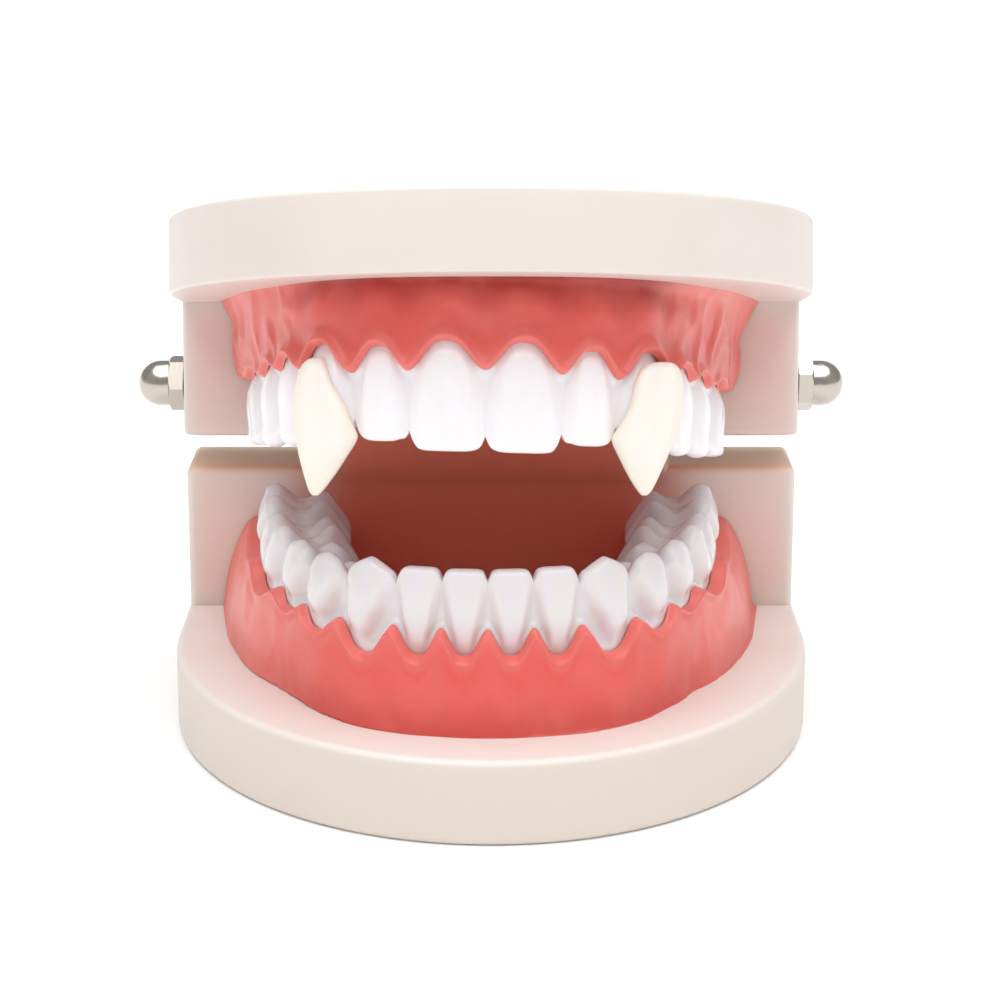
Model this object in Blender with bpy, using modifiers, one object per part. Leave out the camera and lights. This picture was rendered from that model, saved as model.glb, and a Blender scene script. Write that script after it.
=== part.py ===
"""Hinged dental display model wearing a pair of slip-on vampire fang caps on its upper canines.

Sizes are in millimetres and become metres in the scene. +Z is up, the front faces -Y and the
lower plate rests on Z = 0. Depths run back from the front of the plates. Each jaw is drawn from
its own plate: heights run away from the plate, so the upper jaw is the same build turned over.
The upper jaw is drawn closed and then hung open on the hinge pin.
"""
import math
from collections import namedtuple

import bmesh
import bpy
from mathutils import Matrix, Vector

MM = 0.001

# Clearances
SEAT_GAP = 0.3
BORE_GAP = 0.3

# Plates, seen from above a straight-sided D with the nose towards the viewer
PLATE_WIDTH = 76.0
PLATE_LENGTH = 68.5
NOSE_LENGTH = 46.0
NOSE_POWER = 2.0
NOSE_STEPS = 36
LOWER_THICK = 9.6
UPPER_THICK = 8.9
EDGE_ROUND = 0.9

# Hinge block on the lower plate, with a tongue between the two ears of the upper plate
BLOCK_DEPTH = 12.1
BLOCK_HEIGHT = 17.8
BLOCK_INSET = 0.25
PIN_ABOVE_BLOCK = 9.8
PIN_FROM_BACK = 7.7
TONGUE_ABOVE_PIN = 6.5
TONGUE_HEADROOM = 3.2
EAR_WIDTH = 15.0
EAR_SIDE_GAP = 0.9
EAR_BELOW_PIN = 6.5
EAR_BEFORE_PIN = 6.4
EAR_CORNER = 3.0
EAR_DRAFT = 0.2
GAPE_DEG = 14.2

# Hinge pin and acorn nuts
PIN_RADIUS = 1.5
PIN_SIDES = 20
NUT_FLATS = 5.6
NUT_THICK = 2.2
NUT_CHAMFER = 0.25
NUT_TURN_DEG = 15.0
DOME_RADIUS = 2.62
DOME_NECK = 0.8
NUT_BORE_DEPTH = 4.0

# What follows from them
PIN_DEPTH = PLATE_LENGTH - PIN_FROM_BACK
PIN_HEIGHT = LOWER_THICK + BLOCK_HEIGHT + PIN_ABOVE_BLOCK
ROOF_HEIGHT = PIN_HEIGHT + TONGUE_ABOVE_PIN + TONGUE_HEADROOM
BLOCK_FRONT = PLATE_LENGTH - BLOCK_DEPTH
TONGUE_WIDTH = PLATE_WIDTH - 2.0 * (EAR_WIDTH + EAR_SIDE_GAP)

# Where the arches stand on their plates. The upper one is set slightly askew.
LOWER_SIDE_INSET = 12.4
LOWER_FRONT_INSET = 10.8
LOWER_ROW_TAIL = 6.75
UPPER_SIDE_INSET = 11.4
UPPER_FRONT_INSET = 8.6
UPPER_ROW_TAIL = 4.45
EAR_GUM_GAP = 0.5
LOWER_SHIFT = -0.35
UPPER_SHIFT = -0.6
UPPER_ROLL = 0.026

# Teeth and gums
LOWER_TOOTH_HEIGHT = 18.0
BITE_GAP = 0.8
UPPER_TOOTH_HEIGHT = ROOF_HEIGHT - LOWER_THICK - LOWER_TOOTH_HEIGHT - BITE_GAP
MOLAR_THICK = 11.2
NECK_LIFT = 0.15
CROWN_ROUND = 0.45
LOWER_GUM_FOOT = 10.4
UPPER_GUM_FOOT = 12.0
GROOVE_DEPTH = 2.4
RIM_THICK = 1.1
RIM_DROP = 0.9
RIM_LIP = 0.35
GUM_SLACK = 0.25
LINGUAL_DROP = 1.2
PALATE_DEPTH = 4.2

# Arch lines through the biting edges, one row per point: sideways as a share of the arch's half
# width, depth as a share of the way from its front to its end
Point = namedtuple("Point", "side depth")
LOWER_LINE = (
    Point(0.0, 0.0),
    Point(0.195, 0.009),
    Point(0.39, 0.033),
    Point(0.57, 0.093),
    Point(0.703, 0.181),
    Point(0.809, 0.291),
    Point(0.922, 0.457),
    Point(0.977, 0.656),
    Point(0.992, 0.843),
    Point(1.0, 1.042),
)
UPPER_LINE = (
    Point(0.0, 0.0),
    Point(0.158, 0.004),
    Point(0.312, 0.02),
    Point(0.508, 0.066),
    Point(0.662, 0.141),
    Point(0.767, 0.245),
    Point(0.861, 0.382),
    Point(0.955, 0.565),
    Point(0.989, 0.77),
    Point(1.0, 1.046),
)

# Teeth from the midline back: width as a share of half the row, heights above the plate as
# shares of the tooth height, offsets outward or inward of the line as shares of the molars' thickness
Tooth = namedtuple(
    "Tooth",
    "width zenith papilla top in_top fossa tip valley corner belly neck edge in_belly in_neck",
)
LOWER_TEETH = (
    Tooth(0.095, 0.483, 0.65, 1.0, 0.989, 0.006, 0.0, 0.0, 0.044, 0.116, 0.045, 0.116, 0.393, 0.286),
    Tooth(0.097, 0.478, 0.65, 1.006, 0.994, 0.006, 0.0, 0.0, 0.05, 0.116, 0.045, 0.116, 0.393, 0.286),
    Tooth(0.122, 0.467, 0.661, 1.039, 0.967, 0.006, 0.089, 0.0, 0.044, 0.17, 0.071, 0.116, 0.464, 0.321),
    Tooth(0.126, 0.533, 0.678, 1.0, 0.9, 0.05, 0.061, 0.0, 0.056, 0.196, 0.089, 0.304, 0.536, 0.411),
    Tooth(0.13, 0.567, 0.689, 0.983, 0.933, 0.061, 0.05, 0.0, 0.056, 0.196, 0.089, 0.357, 0.625, 0.5),
    Tooth(0.213, 0.544, 0.7, 0.989, 0.967, 0.083, 0.0, 0.039, 0.078, 0.205, 0.098, 0.509, 0.786, 0.643),
    Tooth(0.217, 0.606, 0.722, 1.05, 1.02, 0.078, 0.0, 0.039, 0.07, 0.214, 0.107, 0.5, 0.786, 0.643),
)
UPPER_TEETH = (
    Tooth(0.148, 0.373, 0.535, 1.0, 0.984, 0.005, 0.0, 0.0, 0.065, 0.08, 0.009, 0.125, 0.518, 0.393),
    Tooth(0.1135, 0.411, 0.562, 0.951, 0.93, 0.005, 0.0, 0.0, 0.065, 0.08, 0.018, 0.116, 0.464, 0.357),
    Tooth(0.135, 0.405, 0.573, 0.973, 0.908, 0.005, 0.092, 0.0, 0.043, 0.143, 0.045, 0.125, 0.589, 0.446),
    Tooth(0.124, 0.47, 0.573, 0.989, 0.957, 0.065, 0.059, 0.0, 0.054, 0.17, 0.071, 0.446, 0.696, 0.554),
    Tooth(0.121, 0.503, 0.589, 0.995, 0.962, 0.065, 0.049, 0.0, 0.054, 0.17, 0.071, 0.464, 0.696, 0.554),
    Tooth(0.1855, 0.535, 0.616, 0.984, 0.973, 0.081, 0.0, 0.032, 0.07, 0.17, 0.071, 0.554, 0.821, 0.679),
    Tooth(0.173, 0.551, 0.616, 0.962, 0.951, 0.076, 0.0, 0.032, 0.081, 0.161, 0.071, 0.536, 0.804, 0.661),
)
TOOTH_STEPS = (-1.0, -0.84, -0.5, 0.0, 0.5, 0.84)
GUM_STEPS = (-1.0, -0.55, 0.0, 0.55)

# Gums: outward and inward offset of the foot, as shares of the foot's reach, one row per tooth
# and one for the gum's end
Foot = namedtuple("Foot", "out inside")
LOWER_FEET = (
    Foot(0.308, 0.673),
    Foot(0.288, 0.673),
    Foot(0.26, 0.692),
    Foot(0.221, 0.75),
    Foot(0.231, 0.808),
    Foot(0.365, 0.942),
    Foot(0.558, 0.981),
    Foot(0.731, 1.0),
)
UPPER_FEET = (
    Foot(0.083, 0.75),
    Foot(0.083, 0.733),
    Foot(0.025, 0.8),
    Foot(0.042, 0.883),
    Foot(0.092, 0.917),
    Foot(0.175, 1.017),
    Foot(0.358, 1.033),
    Foot(0.575, 1.0),
)
# How much of the foot's spread the outer flank keeps, low, high and at the top of the gum
Flank = namedtuple("Flank", "low high top")
LOWER_FLANK = Flank(0.88, 0.62, 0.28)
UPPER_FLANK = Flank(0.62, 0.62, 0.42)

# Fang caps, one row per level up from the tip as a share of the length: half widths away from
# and towards the midline, then towards the front and the back, as shares of the width
FANG_LENGTH = 14.8
FANG_WIDTH = 7.0
Level = namedtuple("Level", "up outer inner front back")
FANG_LEVELS = (
    Level(0.0, 0.043, 0.043, 0.043, 0.043),
    Level(0.04, 0.107, 0.129, 0.1, 0.114),
    Level(0.162, 0.2, 0.3, 0.186, 0.229),
    Level(0.297, 0.279, 0.471, 0.257, 0.329),
    Level(0.392, 0.321, 0.6, 0.3, 0.4),
    Level(0.459, 0.336, 0.6, 0.314, 0.443),
    Level(0.642, 0.364, 0.457, 0.314, 0.471),
    Level(0.824, 0.329, 0.343, 0.279, 0.429),
    Level(0.926, 0.257, 0.257, 0.214, 0.371),
    Level(1.0, 0.086, 0.086, 0.1, 0.2),
)
FANG_SIDES = 14
# One row per cap: where its top and tip sit, outward and back of the middle of its canine, as
# shares of the width, and how far below the plate it starts, as a share of the tooth height
Seat = namedtuple("Seat", "name side top_across tip_across top_depth tip_depth top_height")
FANG_SEATS = (
    Seat("fang_cap_left", -1, 0.149, 0.191, -0.084, -0.284, 0.449),
    Seat("fang_cap_right", 1, 0.334, 0.02, -0.084, -0.284, 0.476),
)
CAP_CLEARANCE = 0.35

# Plain colours of the pieces: red, green, blue, roughness, metal
Finish = namedtuple("Finish", "red green blue rough metal")
FINISHES = {
    "ivory_plastic": Finish(0.85, 0.76, 0.69, 0.35, 0.0),
    "coral_gum": Finish(0.82, 0.14, 0.12, 0.35, 0.0),
    "white_teeth": Finish(0.88, 0.86, 0.87, 0.25, 0.0),
    "ivory_fang": Finish(0.93, 0.89, 0.80, 0.25, 0.0),
    "nickel": Finish(0.62, 0.60, 0.58, 0.22, 1.0),
}


def clear_scene():
    """Remove every object the file opens with."""
    for obj in list(bpy.data.objects):
        bpy.data.objects.remove(obj, do_unlink=True)


def new_collection(name, shown):
    """Make a collection in the scene, with cutters' collections left out of renders."""
    coll = bpy.data.collections.new(name)
    coll.hide_render = not shown
    bpy.context.scene.collection.children.link(coll)
    return coll


def world_point(side, depth, height):
    """Turn a sideways, depth and height position in mm into scene metres."""
    return Vector((side, depth - PLATE_LENGTH / 2.0, height)) * MM


def mesh_object(name, points, faces, coll):
    """Make an object from scene points and faces, its faces turned outward."""
    mesh = bpy.data.meshes.new(name)
    mesh.from_pydata([tuple(point) for point in points], [], faces)
    bm = bmesh.new()
    bm.from_mesh(mesh)
    bmesh.ops.recalc_face_normals(bm, faces=bm.faces)
    bm.to_mesh(mesh)
    bm.free()
    obj = bpy.data.objects.new(name, mesh)
    coll.objects.link(obj)
    return obj


def settle(obj):
    """Apply an object's modifiers to its mesh."""
    bpy.context.view_layer.update()
    graph = bpy.context.evaluated_depsgraph_get()
    mesh = bpy.data.meshes.new_from_object(obj.evaluated_get(graph))
    obj.modifiers.clear()
    obj.data = mesh
    return obj


def join_shapes(obj, others, operation):
    """Add other shapes to an object, or cut them from it, and tidy the result."""
    for other in others:
        other.display_type = "WIRE"
        step = obj.modifiers.new("with_" + other.name, "BOOLEAN")
        step.operation = operation
        step.solver = "EXACT"
        step.object = other
    settle(obj)
    for other in others:
        bpy.data.objects.remove(other, do_unlink=True)
    bm = bmesh.new()
    bm.from_mesh(obj.data)
    bmesh.ops.remove_doubles(bm, verts=bm.verts, dist=0.00001)
    bmesh.ops.dissolve_degenerate(bm, edges=bm.edges, dist=0.00001)
    bm.to_mesh(obj.data)
    bm.free()
    return obj


def rounded(obj, width, segments):
    """Round the sharp edges of a shape."""
    step = obj.modifiers.new("round", "BEVEL")
    step.width = width * MM
    step.segments = segments
    step.limit_method = "ANGLE"
    step.angle_limit = math.radians(40.0)
    return settle(obj)


def loft(name, rings, coll):
    """Skin equal closed rings in order and cap both ends."""
    count = len(rings[0])
    points = [point for ring in rings for point in ring]
    faces = []
    for row in range(len(rings) - 1):
        for k in range(count):
            after = (k + 1) % count
            low = row * count
            high = low + count
            faces.append((low + k, low + after, high + after, high + k))
    faces.append(tuple(reversed(range(count))))
    faces.append(tuple(range(len(points) - count, len(points))))
    return mesh_object(name, points, faces, coll)


def prism(name, outline, low, high, coll):
    """Stand a flat outline of side, depth pairs up between two heights."""
    rings = [[world_point(side, depth, height) for side, depth in outline] for height in (low, high)]
    return loft(name, rings, coll)


def crosswise_prism(name, profile, half_width, coll):
    """Run a depth, height profile across the jaw from side to side."""
    rings = [[world_point(side, depth, height) for depth, height in profile] for side in half_width]
    return loft(name, rings, coll)


def crosswise_rod(name, radius, low, high, sides, coll, turn=0.0):
    """Make a round or many-sided rod on the hinge axis between two sideways positions."""
    rings = []
    for side in (low, high):
        ring = []
        for k in range(sides):
            angle = turn + math.tau * k / sides
            depth = PIN_DEPTH + radius * math.cos(angle)
            ring.append(world_point(side, depth, PIN_HEIGHT + radius * math.sin(angle)))
        rings.append(ring)
    return loft(name, rings, coll)


def plate_outline():
    """Follow the D of a plate: back corners, straight sides and the curved nose."""
    half = PLATE_WIDTH / 2.0
    outline = [(-half, PLATE_LENGTH)]
    for k in range(NOSE_STEPS + 1):
        angle = math.pi * (1.0 - k / NOSE_STEPS)
        across = abs(math.cos(angle)) ** (2.0 / NOSE_POWER)
        ahead = abs(math.sin(angle)) ** (2.0 / NOSE_POWER)
        side = math.copysign(half * across, math.cos(angle))
        outline.append((side, NOSE_LENGTH * (1.0 - ahead)))
    outline.append((half, PLATE_LENGTH))
    return outline


def smooth_line(points, half_width, front, end, steps=24):
    """Run a smooth curve through an arch's half and its mirror image, as a list of positions."""
    right = []
    for point in points:
        right.append(Vector((point.side * half_width, front + point.depth * (end - front))))
    nodes = [Vector((-node.x, node.y)) for node in reversed(right[1:])] + right
    nodes = [nodes[0] * 2 - nodes[1]] + nodes + [nodes[-1] * 2 - nodes[-2]]
    curve = []
    for k in range(1, len(nodes) - 2):
        before, start, end, after = nodes[k - 1 : k + 3]
        for step in range(steps):
            t = step / steps
            bend = (end - before) * t + (before * 2 - start * 5 + end * 4 - after) * t * t
            bend += (start * 3 - before - end * 3 + after) * t ** 3
            curve.append(start + bend * 0.5)
    curve.append(nodes[-2])
    return curve


Jaw = namedtuple("Jaw", "line teeth feet flank side_inset front gum_end tail height foot shift roll flip")
LOWER_JAW = Jaw(
    LOWER_LINE,
    LOWER_TEETH,
    LOWER_FEET,
    LOWER_FLANK,
    LOWER_SIDE_INSET,
    LOWER_FRONT_INSET,
    BLOCK_FRONT - SEAT_GAP,
    LOWER_ROW_TAIL,
    LOWER_TOOTH_HEIGHT,
    LOWER_GUM_FOOT,
    LOWER_SHIFT,
    0.0,
    False,
)
UPPER_JAW = Jaw(
    UPPER_LINE,
    UPPER_TEETH,
    UPPER_FEET,
    UPPER_FLANK,
    UPPER_SIDE_INSET,
    UPPER_FRONT_INSET,
    PIN_DEPTH - EAR_BEFORE_PIN - EAR_GUM_GAP,
    UPPER_ROW_TAIL,
    UPPER_TOOTH_HEIGHT,
    UPPER_GUM_FOOT,
    UPPER_SHIFT,
    UPPER_ROLL,
    True,
)


class Arch:
    """One dental arch: its line, its teeth and how its plate carries it."""

    def __init__(self, jaw):
        self.jaw = jaw
        half = PLATE_WIDTH / 2.0 - jaw.side_inset
        self.curve = smooth_line(jaw.line, half, jaw.front, jaw.gum_end)
        self.reach = [0.0]
        for before, after in zip(self.curve, self.curve[1:]):
            self.reach.append(self.reach[-1] + (after - before).length)
        self.middle = self.reach[-1] / 2.0
        self.length = self.run_at_depth(jaw.gum_end - jaw.tail)
        self.end = self.run_at_depth(jaw.gum_end)
        self.teeth = [self.sized(tooth) for tooth in jaw.teeth]
        self.centres = []
        start = 0.0
        for tooth in self.teeth:
            self.centres.append(start + tooth.width / 2.0)
            start += tooth.width
        self.centres.append(self.end)
        self.feet = [Foot(foot.out * jaw.foot, foot.inside * jaw.foot) for foot in jaw.feet]

    def sized(self, tooth):
        """Turn a tooth's shares into lengths."""
        high = self.jaw.height
        return Tooth(
            tooth.width * self.length,
            tooth.zenith * high,
            tooth.papilla * high,
            tooth.top * high,
            tooth.in_top * high,
            tooth.fossa * high,
            tooth.tip * high,
            tooth.valley * high,
            tooth.corner * high,
            tooth.belly * MOLAR_THICK,
            tooth.neck * MOLAR_THICK,
            tooth.edge * MOLAR_THICK,
            tooth.in_belly * MOLAR_THICK,
            tooth.in_neck * MOLAR_THICK,
        )

    def run_at_depth(self, depth):
        """Run from the midline at which the line reaches a depth."""
        k = len(self.curve) // 2
        while k < len(self.curve) - 1 and self.curve[k].y < depth:
            k += 1
        start, end = self.curve[k - 1], self.curve[k]
        part = (depth - start.y) / (end.y - start.y)
        return self.reach[k - 1] + (self.reach[k] - self.reach[k - 1]) * part - self.middle

    def along(self, run):
        """Position and outward direction on the line at a signed run from the midline."""
        target = self.middle + run
        k = 1
        while k < len(self.reach) - 1 and self.reach[k] < target:
            k += 1
        start, end = self.curve[k - 1], self.curve[k]
        part = (target - self.reach[k - 1]) / (self.reach[k] - self.reach[k - 1])
        before = self.curve[max(k - 4, 0)]
        after = self.curve[min(k + 3, len(self.curve) - 1)]
        tangent = (after - before).normalized()
        return start + (end - start) * part, Vector((tangent.y, -tangent.x))

    def place(self, run, out, height, tilt=1.0):
        """Scene position at a run along the arch, an outward offset and a height off the plate."""
        spot, outward = self.along(run)
        spot = spot + outward * out
        height += tilt * self.jaw.roll * spot.x
        side = spot.x + self.jaw.shift * tilt
        if self.jaw.flip:
            return world_point(side, spot.y, ROOF_HEIGHT - height)
        return world_point(side, spot.y, LOWER_THICK + height)

    def mixed(self, run, rows):
        """Blend a table with one row per tooth and one for the end, at a run along the arch."""
        run = min(max(abs(run), self.centres[0]), self.centres[-1])
        k = 1
        while k < len(self.centres) - 1 and self.centres[k] < run:
            k += 1
        part = (run - self.centres[k - 1]) / (self.centres[k] - self.centres[k - 1])
        return [a + (b - a) * part for a, b in zip(rows[k - 1], rows[k])]

    def root(self, run):
        """Outward offset, inward offset and foot height of the strip's root at a run."""
        rows = [(tooth.neck, tooth.in_neck, tooth.zenith - GROOVE_DEPTH) for tooth in self.teeth]
        return self.mixed(run, rows + rows[-1:])

    def stations(self, steps):
        """Rows along the whole arch: run, tooth, place in the tooth, next tooth at a contact."""
        half = []
        start = 0.0
        for k, tooth in enumerate(self.teeth):
            previous = self.teeth[k - 1] if k else tooth
            for u in steps:
                run = start + (u + 1.0) / 2.0 * tooth.width
                half.append((run, tooth, u, previous if u == -1.0 else None))
            start += tooth.width
        half.append((start, self.teeth[-1], 1.0, None))
        left = [(-run, tooth, u, other) for run, tooth, u, other in reversed(half[1:])]
        return left + half


def gum_line(tooth, u):
    """Height of the gum's edge round a tooth's neck."""
    return tooth.zenith + (tooth.papilla - tooth.zenith) * abs(u) ** 2.2


def crown_top(tooth, u):
    """How far the biting edge drops below the tooth's top at a place in the tooth."""
    return tooth.tip * abs(u) + tooth.valley * max(0.0, 1.0 - 2.0 * abs(u)) + tooth.corner * abs(u) ** 5


def tooth_section(tooth, u, root, grow=0.0):
    """Closed section of the tooth strip as outward offset and height pairs."""
    neck, in_neck, foot = root
    edge = gum_line(tooth, u)
    in_edge = edge - LINGUAL_DROP
    drop = crown_top(tooth, u)
    top = tooth.top - drop
    in_top = tooth.in_top - drop
    pinch = abs(u) ** 4
    belly = tooth.belly + (neck - tooth.belly) * pinch
    in_belly = tooth.in_belly + (in_neck - tooth.in_belly) * pinch
    rise = top - edge
    in_rise = in_top - in_edge
    shoulder = tooth.edge + (in_belly - tooth.edge) * 0.6
    return [
        (neck + grow, foot - grow),
        (neck + grow, edge + NECK_LIFT),
        (belly + grow, edge + rise * 0.38),
        (belly * 0.72 + grow, edge + rise * 0.74),
        (belly * 0.30 + grow, top - CROWN_ROUND + grow * 0.5),
        (-NECK_LIFT, top + grow),
        (-tooth.edge * 0.5, top - tooth.fossa + grow),
        (-tooth.edge, in_top + grow),
        (-shoulder - grow, in_edge + in_rise * 0.66),
        (-in_belly - grow, in_edge + in_rise * 0.34),
        (-in_neck - grow, in_edge + NECK_LIFT),
        (-in_neck - grow, foot - grow),
    ]


def blend(first, second):
    """Average two sections where neighbouring teeth meet."""
    return [((a[0] + b[0]) / 2.0, (a[1] + b[1]) / 2.0) for a, b in zip(first, second)]


def tooth_row(arch, name, rows, coll, grow=0.0):
    """Skin the tooth sections of some stations into one strip."""
    rings = []
    for run, tooth, u, other in rows:
        root = arch.root(run)
        section = tooth_section(tooth, abs(u), root, grow)
        if other is not None:
            section = blend(section, tooth_section(other, 1.0, root, grow))
        rings.append([arch.place(run, out, height) for out, height in section])
    return loft(name, rings, coll)


def gum_section(tooth, u, root, foot, deep, flank):
    """Closed section of a gum with the groove that holds the tooth strip."""
    edge = gum_line(tooth, u) - GUM_SLACK
    in_edge = edge - LINGUAL_DROP
    neck, in_neck = root[0] + SEAT_GAP, root[1] + SEAT_GAP
    rim = neck + RIM_THICK
    in_rim = in_neck + RIM_THICK * 0.8
    floor = root[2] - SEAT_GAP if deep else in_edge - RIM_DROP
    swell = foot.out - rim
    return [
        (foot.out, SEAT_GAP),
        (rim + swell * flank.low, edge * 0.36),
        (rim + swell * flank.high, edge * 0.72),
        (rim + max(0.0, swell) * flank.top, edge - RIM_DROP),
        (neck + RIM_THICK * 0.45, edge),
        (neck, edge - RIM_LIP),
        (neck, floor),
        (-in_neck, floor),
        (-in_neck, in_edge - RIM_LIP),
        (-in_neck - RIM_THICK * 0.4, in_edge),
        (-in_rim, in_edge - RIM_DROP - RIM_LIP / 2.0),
        (-(in_rim + (foot.inside - in_rim) * 0.6), in_edge * 0.5),
        (-foot.inside, SEAT_GAP),
    ]


def gum_ridge(arch, name, coll):
    """Skin a horseshoe gum from end to end of its arch."""
    rows = [(run, tooth, u, other, True) for run, tooth, u, other in arch.stations(GUM_STEPS)]
    last = arch.teeth[-1]
    tail = [(arch.length + SEAT_GAP, True), (arch.length + 2.0 * SEAT_GAP, False), (arch.end, False)]
    after = [(run, last, 1.0, None, deep) for run, deep in tail]
    before = [(-run, last, 1.0, None, deep) for run, deep in reversed(tail)]
    rings = []
    for run, tooth, u, other, deep in before + rows + after:
        foot = Foot(*arch.mixed(run, arch.feet))
        root = arch.root(run)
        section = gum_section(tooth, abs(u), root, foot, deep, arch.jaw.flank)
        if other is not None:
            section = blend(section, gum_section(other, 1.0, root, foot, deep, arch.jaw.flank))
        base = (0, len(section) - 1)
        ring = []
        for k, (out, height) in enumerate(section):
            ring.append(arch.place(run, out, height, 0.0 if k in base else 1.0))
        rings.append(ring)
    return loft(name, rings, coll)


def palate(arch, coll):
    """Roof of the mouth between the arms of the upper gum, hanging from the plate."""
    runs = [arch.length * k / 10.0 for k in range(-10, 11)]
    outline = []
    for run in runs:
        spot, outward = arch.along(run)
        spot = spot - outward * (arch.mixed(run, arch.feet)[1] - RIM_THICK)
        outline.append((spot.x, spot.y))
    shape = prism("palate", outline, ROOF_HEIGHT - PALATE_DEPTH, ROOF_HEIGHT - SEAT_GAP, coll)
    return shape


def lower_base(parts, cutters):
    """Lower plate with the hinge block and its tongue, bored for the pin."""
    base = prism("lower_base", plate_outline(), 0.0, LOWER_THICK, parts)
    rounded(base, EDGE_ROUND, 2)
    back = PLATE_LENGTH - BLOCK_INSET
    top = LOWER_THICK + BLOCK_HEIGHT
    half = PLATE_WIDTH / 2.0 - BLOCK_INSET
    profile = [(BLOCK_FRONT, LOWER_THICK / 2.0), (back, LOWER_THICK / 2.0), (back, top), (BLOCK_FRONT, top)]
    block = crosswise_prism("block", profile, (-half, half), cutters)
    rounded(block, EDGE_ROUND, 2)
    head = PIN_HEIGHT + TONGUE_ABOVE_PIN
    start = LOWER_THICK + BLOCK_HEIGHT / 2.0
    front = BLOCK_FRONT + BLOCK_INSET
    profile = [(front, start), (back - BLOCK_INSET, start), (back - BLOCK_INSET, head), (front, head)]
    half = TONGUE_WIDTH / 2.0
    tongue = crosswise_prism("tongue", profile, (-half, half), cutters)
    rounded(tongue, EDGE_ROUND, 2)
    join_shapes(base, [block, tongue], "UNION")
    reach = TONGUE_WIDTH / 2.0 + PIN_RADIUS
    bore = crosswise_rod("bore", PIN_RADIUS + BORE_GAP, -reach, reach, PIN_SIDES, cutters)
    return join_shapes(base, [bore], "DIFFERENCE")


def upper_base(parts, cutters):
    """Upper plate with its two hinge ears, bored for the pin."""
    base = prism("upper_base", plate_outline(), ROOF_HEIGHT, ROOF_HEIGHT + UPPER_THICK, parts)
    rounded(base, EDGE_ROUND, 2)
    front = PIN_DEPTH - EAR_BEFORE_PIN
    back = PLATE_LENGTH - BLOCK_INSET
    foot = PIN_HEIGHT - EAR_BELOW_PIN
    ears = []
    for side in (-1, 1):
        outer = side * (PLATE_WIDTH / 2.0 - BLOCK_INSET)
        inner = side * (PLATE_WIDTH / 2.0 - EAR_WIDTH)
        profile = [(front, ROOF_HEIGHT + UPPER_THICK / 2.0), (front, foot)]
        for k in range(5):
            angle = math.pi / 2.0 * k / 4.0
            turn_depth = back - EAR_CORNER * (1.0 - math.sin(angle))
            profile.append((turn_depth, foot + EAR_CORNER * (1.0 - math.cos(angle))))
        profile.append((back, ROOF_HEIGHT + UPPER_THICK / 2.0))
        ear = crosswise_prism("ear", profile, (inner, outer), cutters)
        for vertex in ear.data.vertices:
            if abs(vertex.co.x) > (PLATE_WIDTH - EAR_WIDTH) / 2.0 * MM:
                drop = (ROOF_HEIGHT * MM - vertex.co.z) / (ROOF_HEIGHT - foot) / MM
                vertex.co.x -= side * EAR_DRAFT * MM * max(0.0, drop)
        rounded(ear, EDGE_ROUND * 0.7, 2)
        ears.append(ear)
    join_shapes(base, ears, "UNION")
    reach = PLATE_WIDTH
    bore = crosswise_rod("bore", PIN_RADIUS + BORE_GAP, -reach, reach, PIN_SIDES, cutters)
    return join_shapes(base, [bore], "DIFFERENCE")


def fang_cap(arch, seat, parts, cutters):
    """One slip-on fang, hollowed to slide up over the canine."""
    canine = arch.place(seat.side * arch.centres[2], 0.0, 0.0) / MM
    middle = canine.y + PLATE_LENGTH / 2.0
    tip = ROOF_HEIGHT - seat.top_height * arch.jaw.height - FANG_LENGTH
    rings = []
    for level in FANG_LEVELS:
        across = seat.tip_across + (seat.top_across - seat.tip_across) * level.up
        depth = seat.tip_depth + (seat.top_depth - seat.tip_depth) * level.up
        ring = []
        for k in range(FANG_SIDES):
            angle = math.tau * k / FANG_SIDES
            cosine, sine = math.cos(angle), math.sin(angle)
            wide = level.outer if cosine > 0.0 else level.inner
            deep = level.back if sine > 0.0 else level.front
            side = (across + wide * math.copysign(abs(cosine) ** 0.9, cosine)) * FANG_WIDTH
            back = (depth + deep * math.copysign(abs(sine) ** 0.9, sine)) * FANG_WIDTH
            height = tip + level.up * FANG_LENGTH
            ring.append(world_point(canine.x + seat.side * side, middle + back, height))
        rings.append(ring)
    cap = loft(seat.name, rings, parts)
    first, last = arch.centres[1], arch.centres[4]
    rows = [row for row in arch.stations(TOOTH_STEPS) if first < row[0] * seat.side < last]
    socket = tooth_row(arch, "socket", rows, cutters, CAP_CLEARANCE)
    return join_shapes(cap, [socket], "DIFFERENCE")


def acorn_nut(name, side, parts, cutters):
    """Domed hexagon nut that closes one end of the hinge pin."""
    start = PLATE_WIDTH / 2.0 + SEAT_GAP
    shoulder = start + NUT_THICK
    corner = NUT_FLATS / math.sqrt(3.0)
    ends = (side * start, side * shoulder)
    nut = crosswise_rod(name, corner, ends[0], ends[1], 6, parts, math.radians(NUT_TURN_DEG))
    rounded(nut, NUT_CHAMFER, 1)
    profile = [(shoulder - NUT_THICK / 2.0, DOME_RADIUS), (shoulder + DOME_NECK, DOME_RADIUS)]
    for k in range(1, 5):
        angle = math.pi / 2.0 * k / 5.0
        crest = shoulder + DOME_NECK + DOME_RADIUS * math.sin(angle)
        profile.append((crest, DOME_RADIUS * math.cos(angle)))
    rings = []
    for along, radius in profile:
        ring = []
        for k in range(16):
            angle = math.tau * k / 16
            depth = PIN_DEPTH + radius * math.cos(angle)
            ring.append(world_point(side * along, depth, PIN_HEIGHT + radius * math.sin(angle)))
        rings.append(ring)
    dome = loft("dome", rings, cutters)
    join_shapes(nut, [dome], "UNION")
    ends = (side * (start - NUT_THICK / 2.0), side * (start + NUT_BORE_DEPTH))
    bore = crosswise_rod("bore", PIN_RADIUS + BORE_GAP, ends[0], ends[1], PIN_SIDES, cutters)
    return join_shapes(nut, [bore], "DIFFERENCE")


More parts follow.
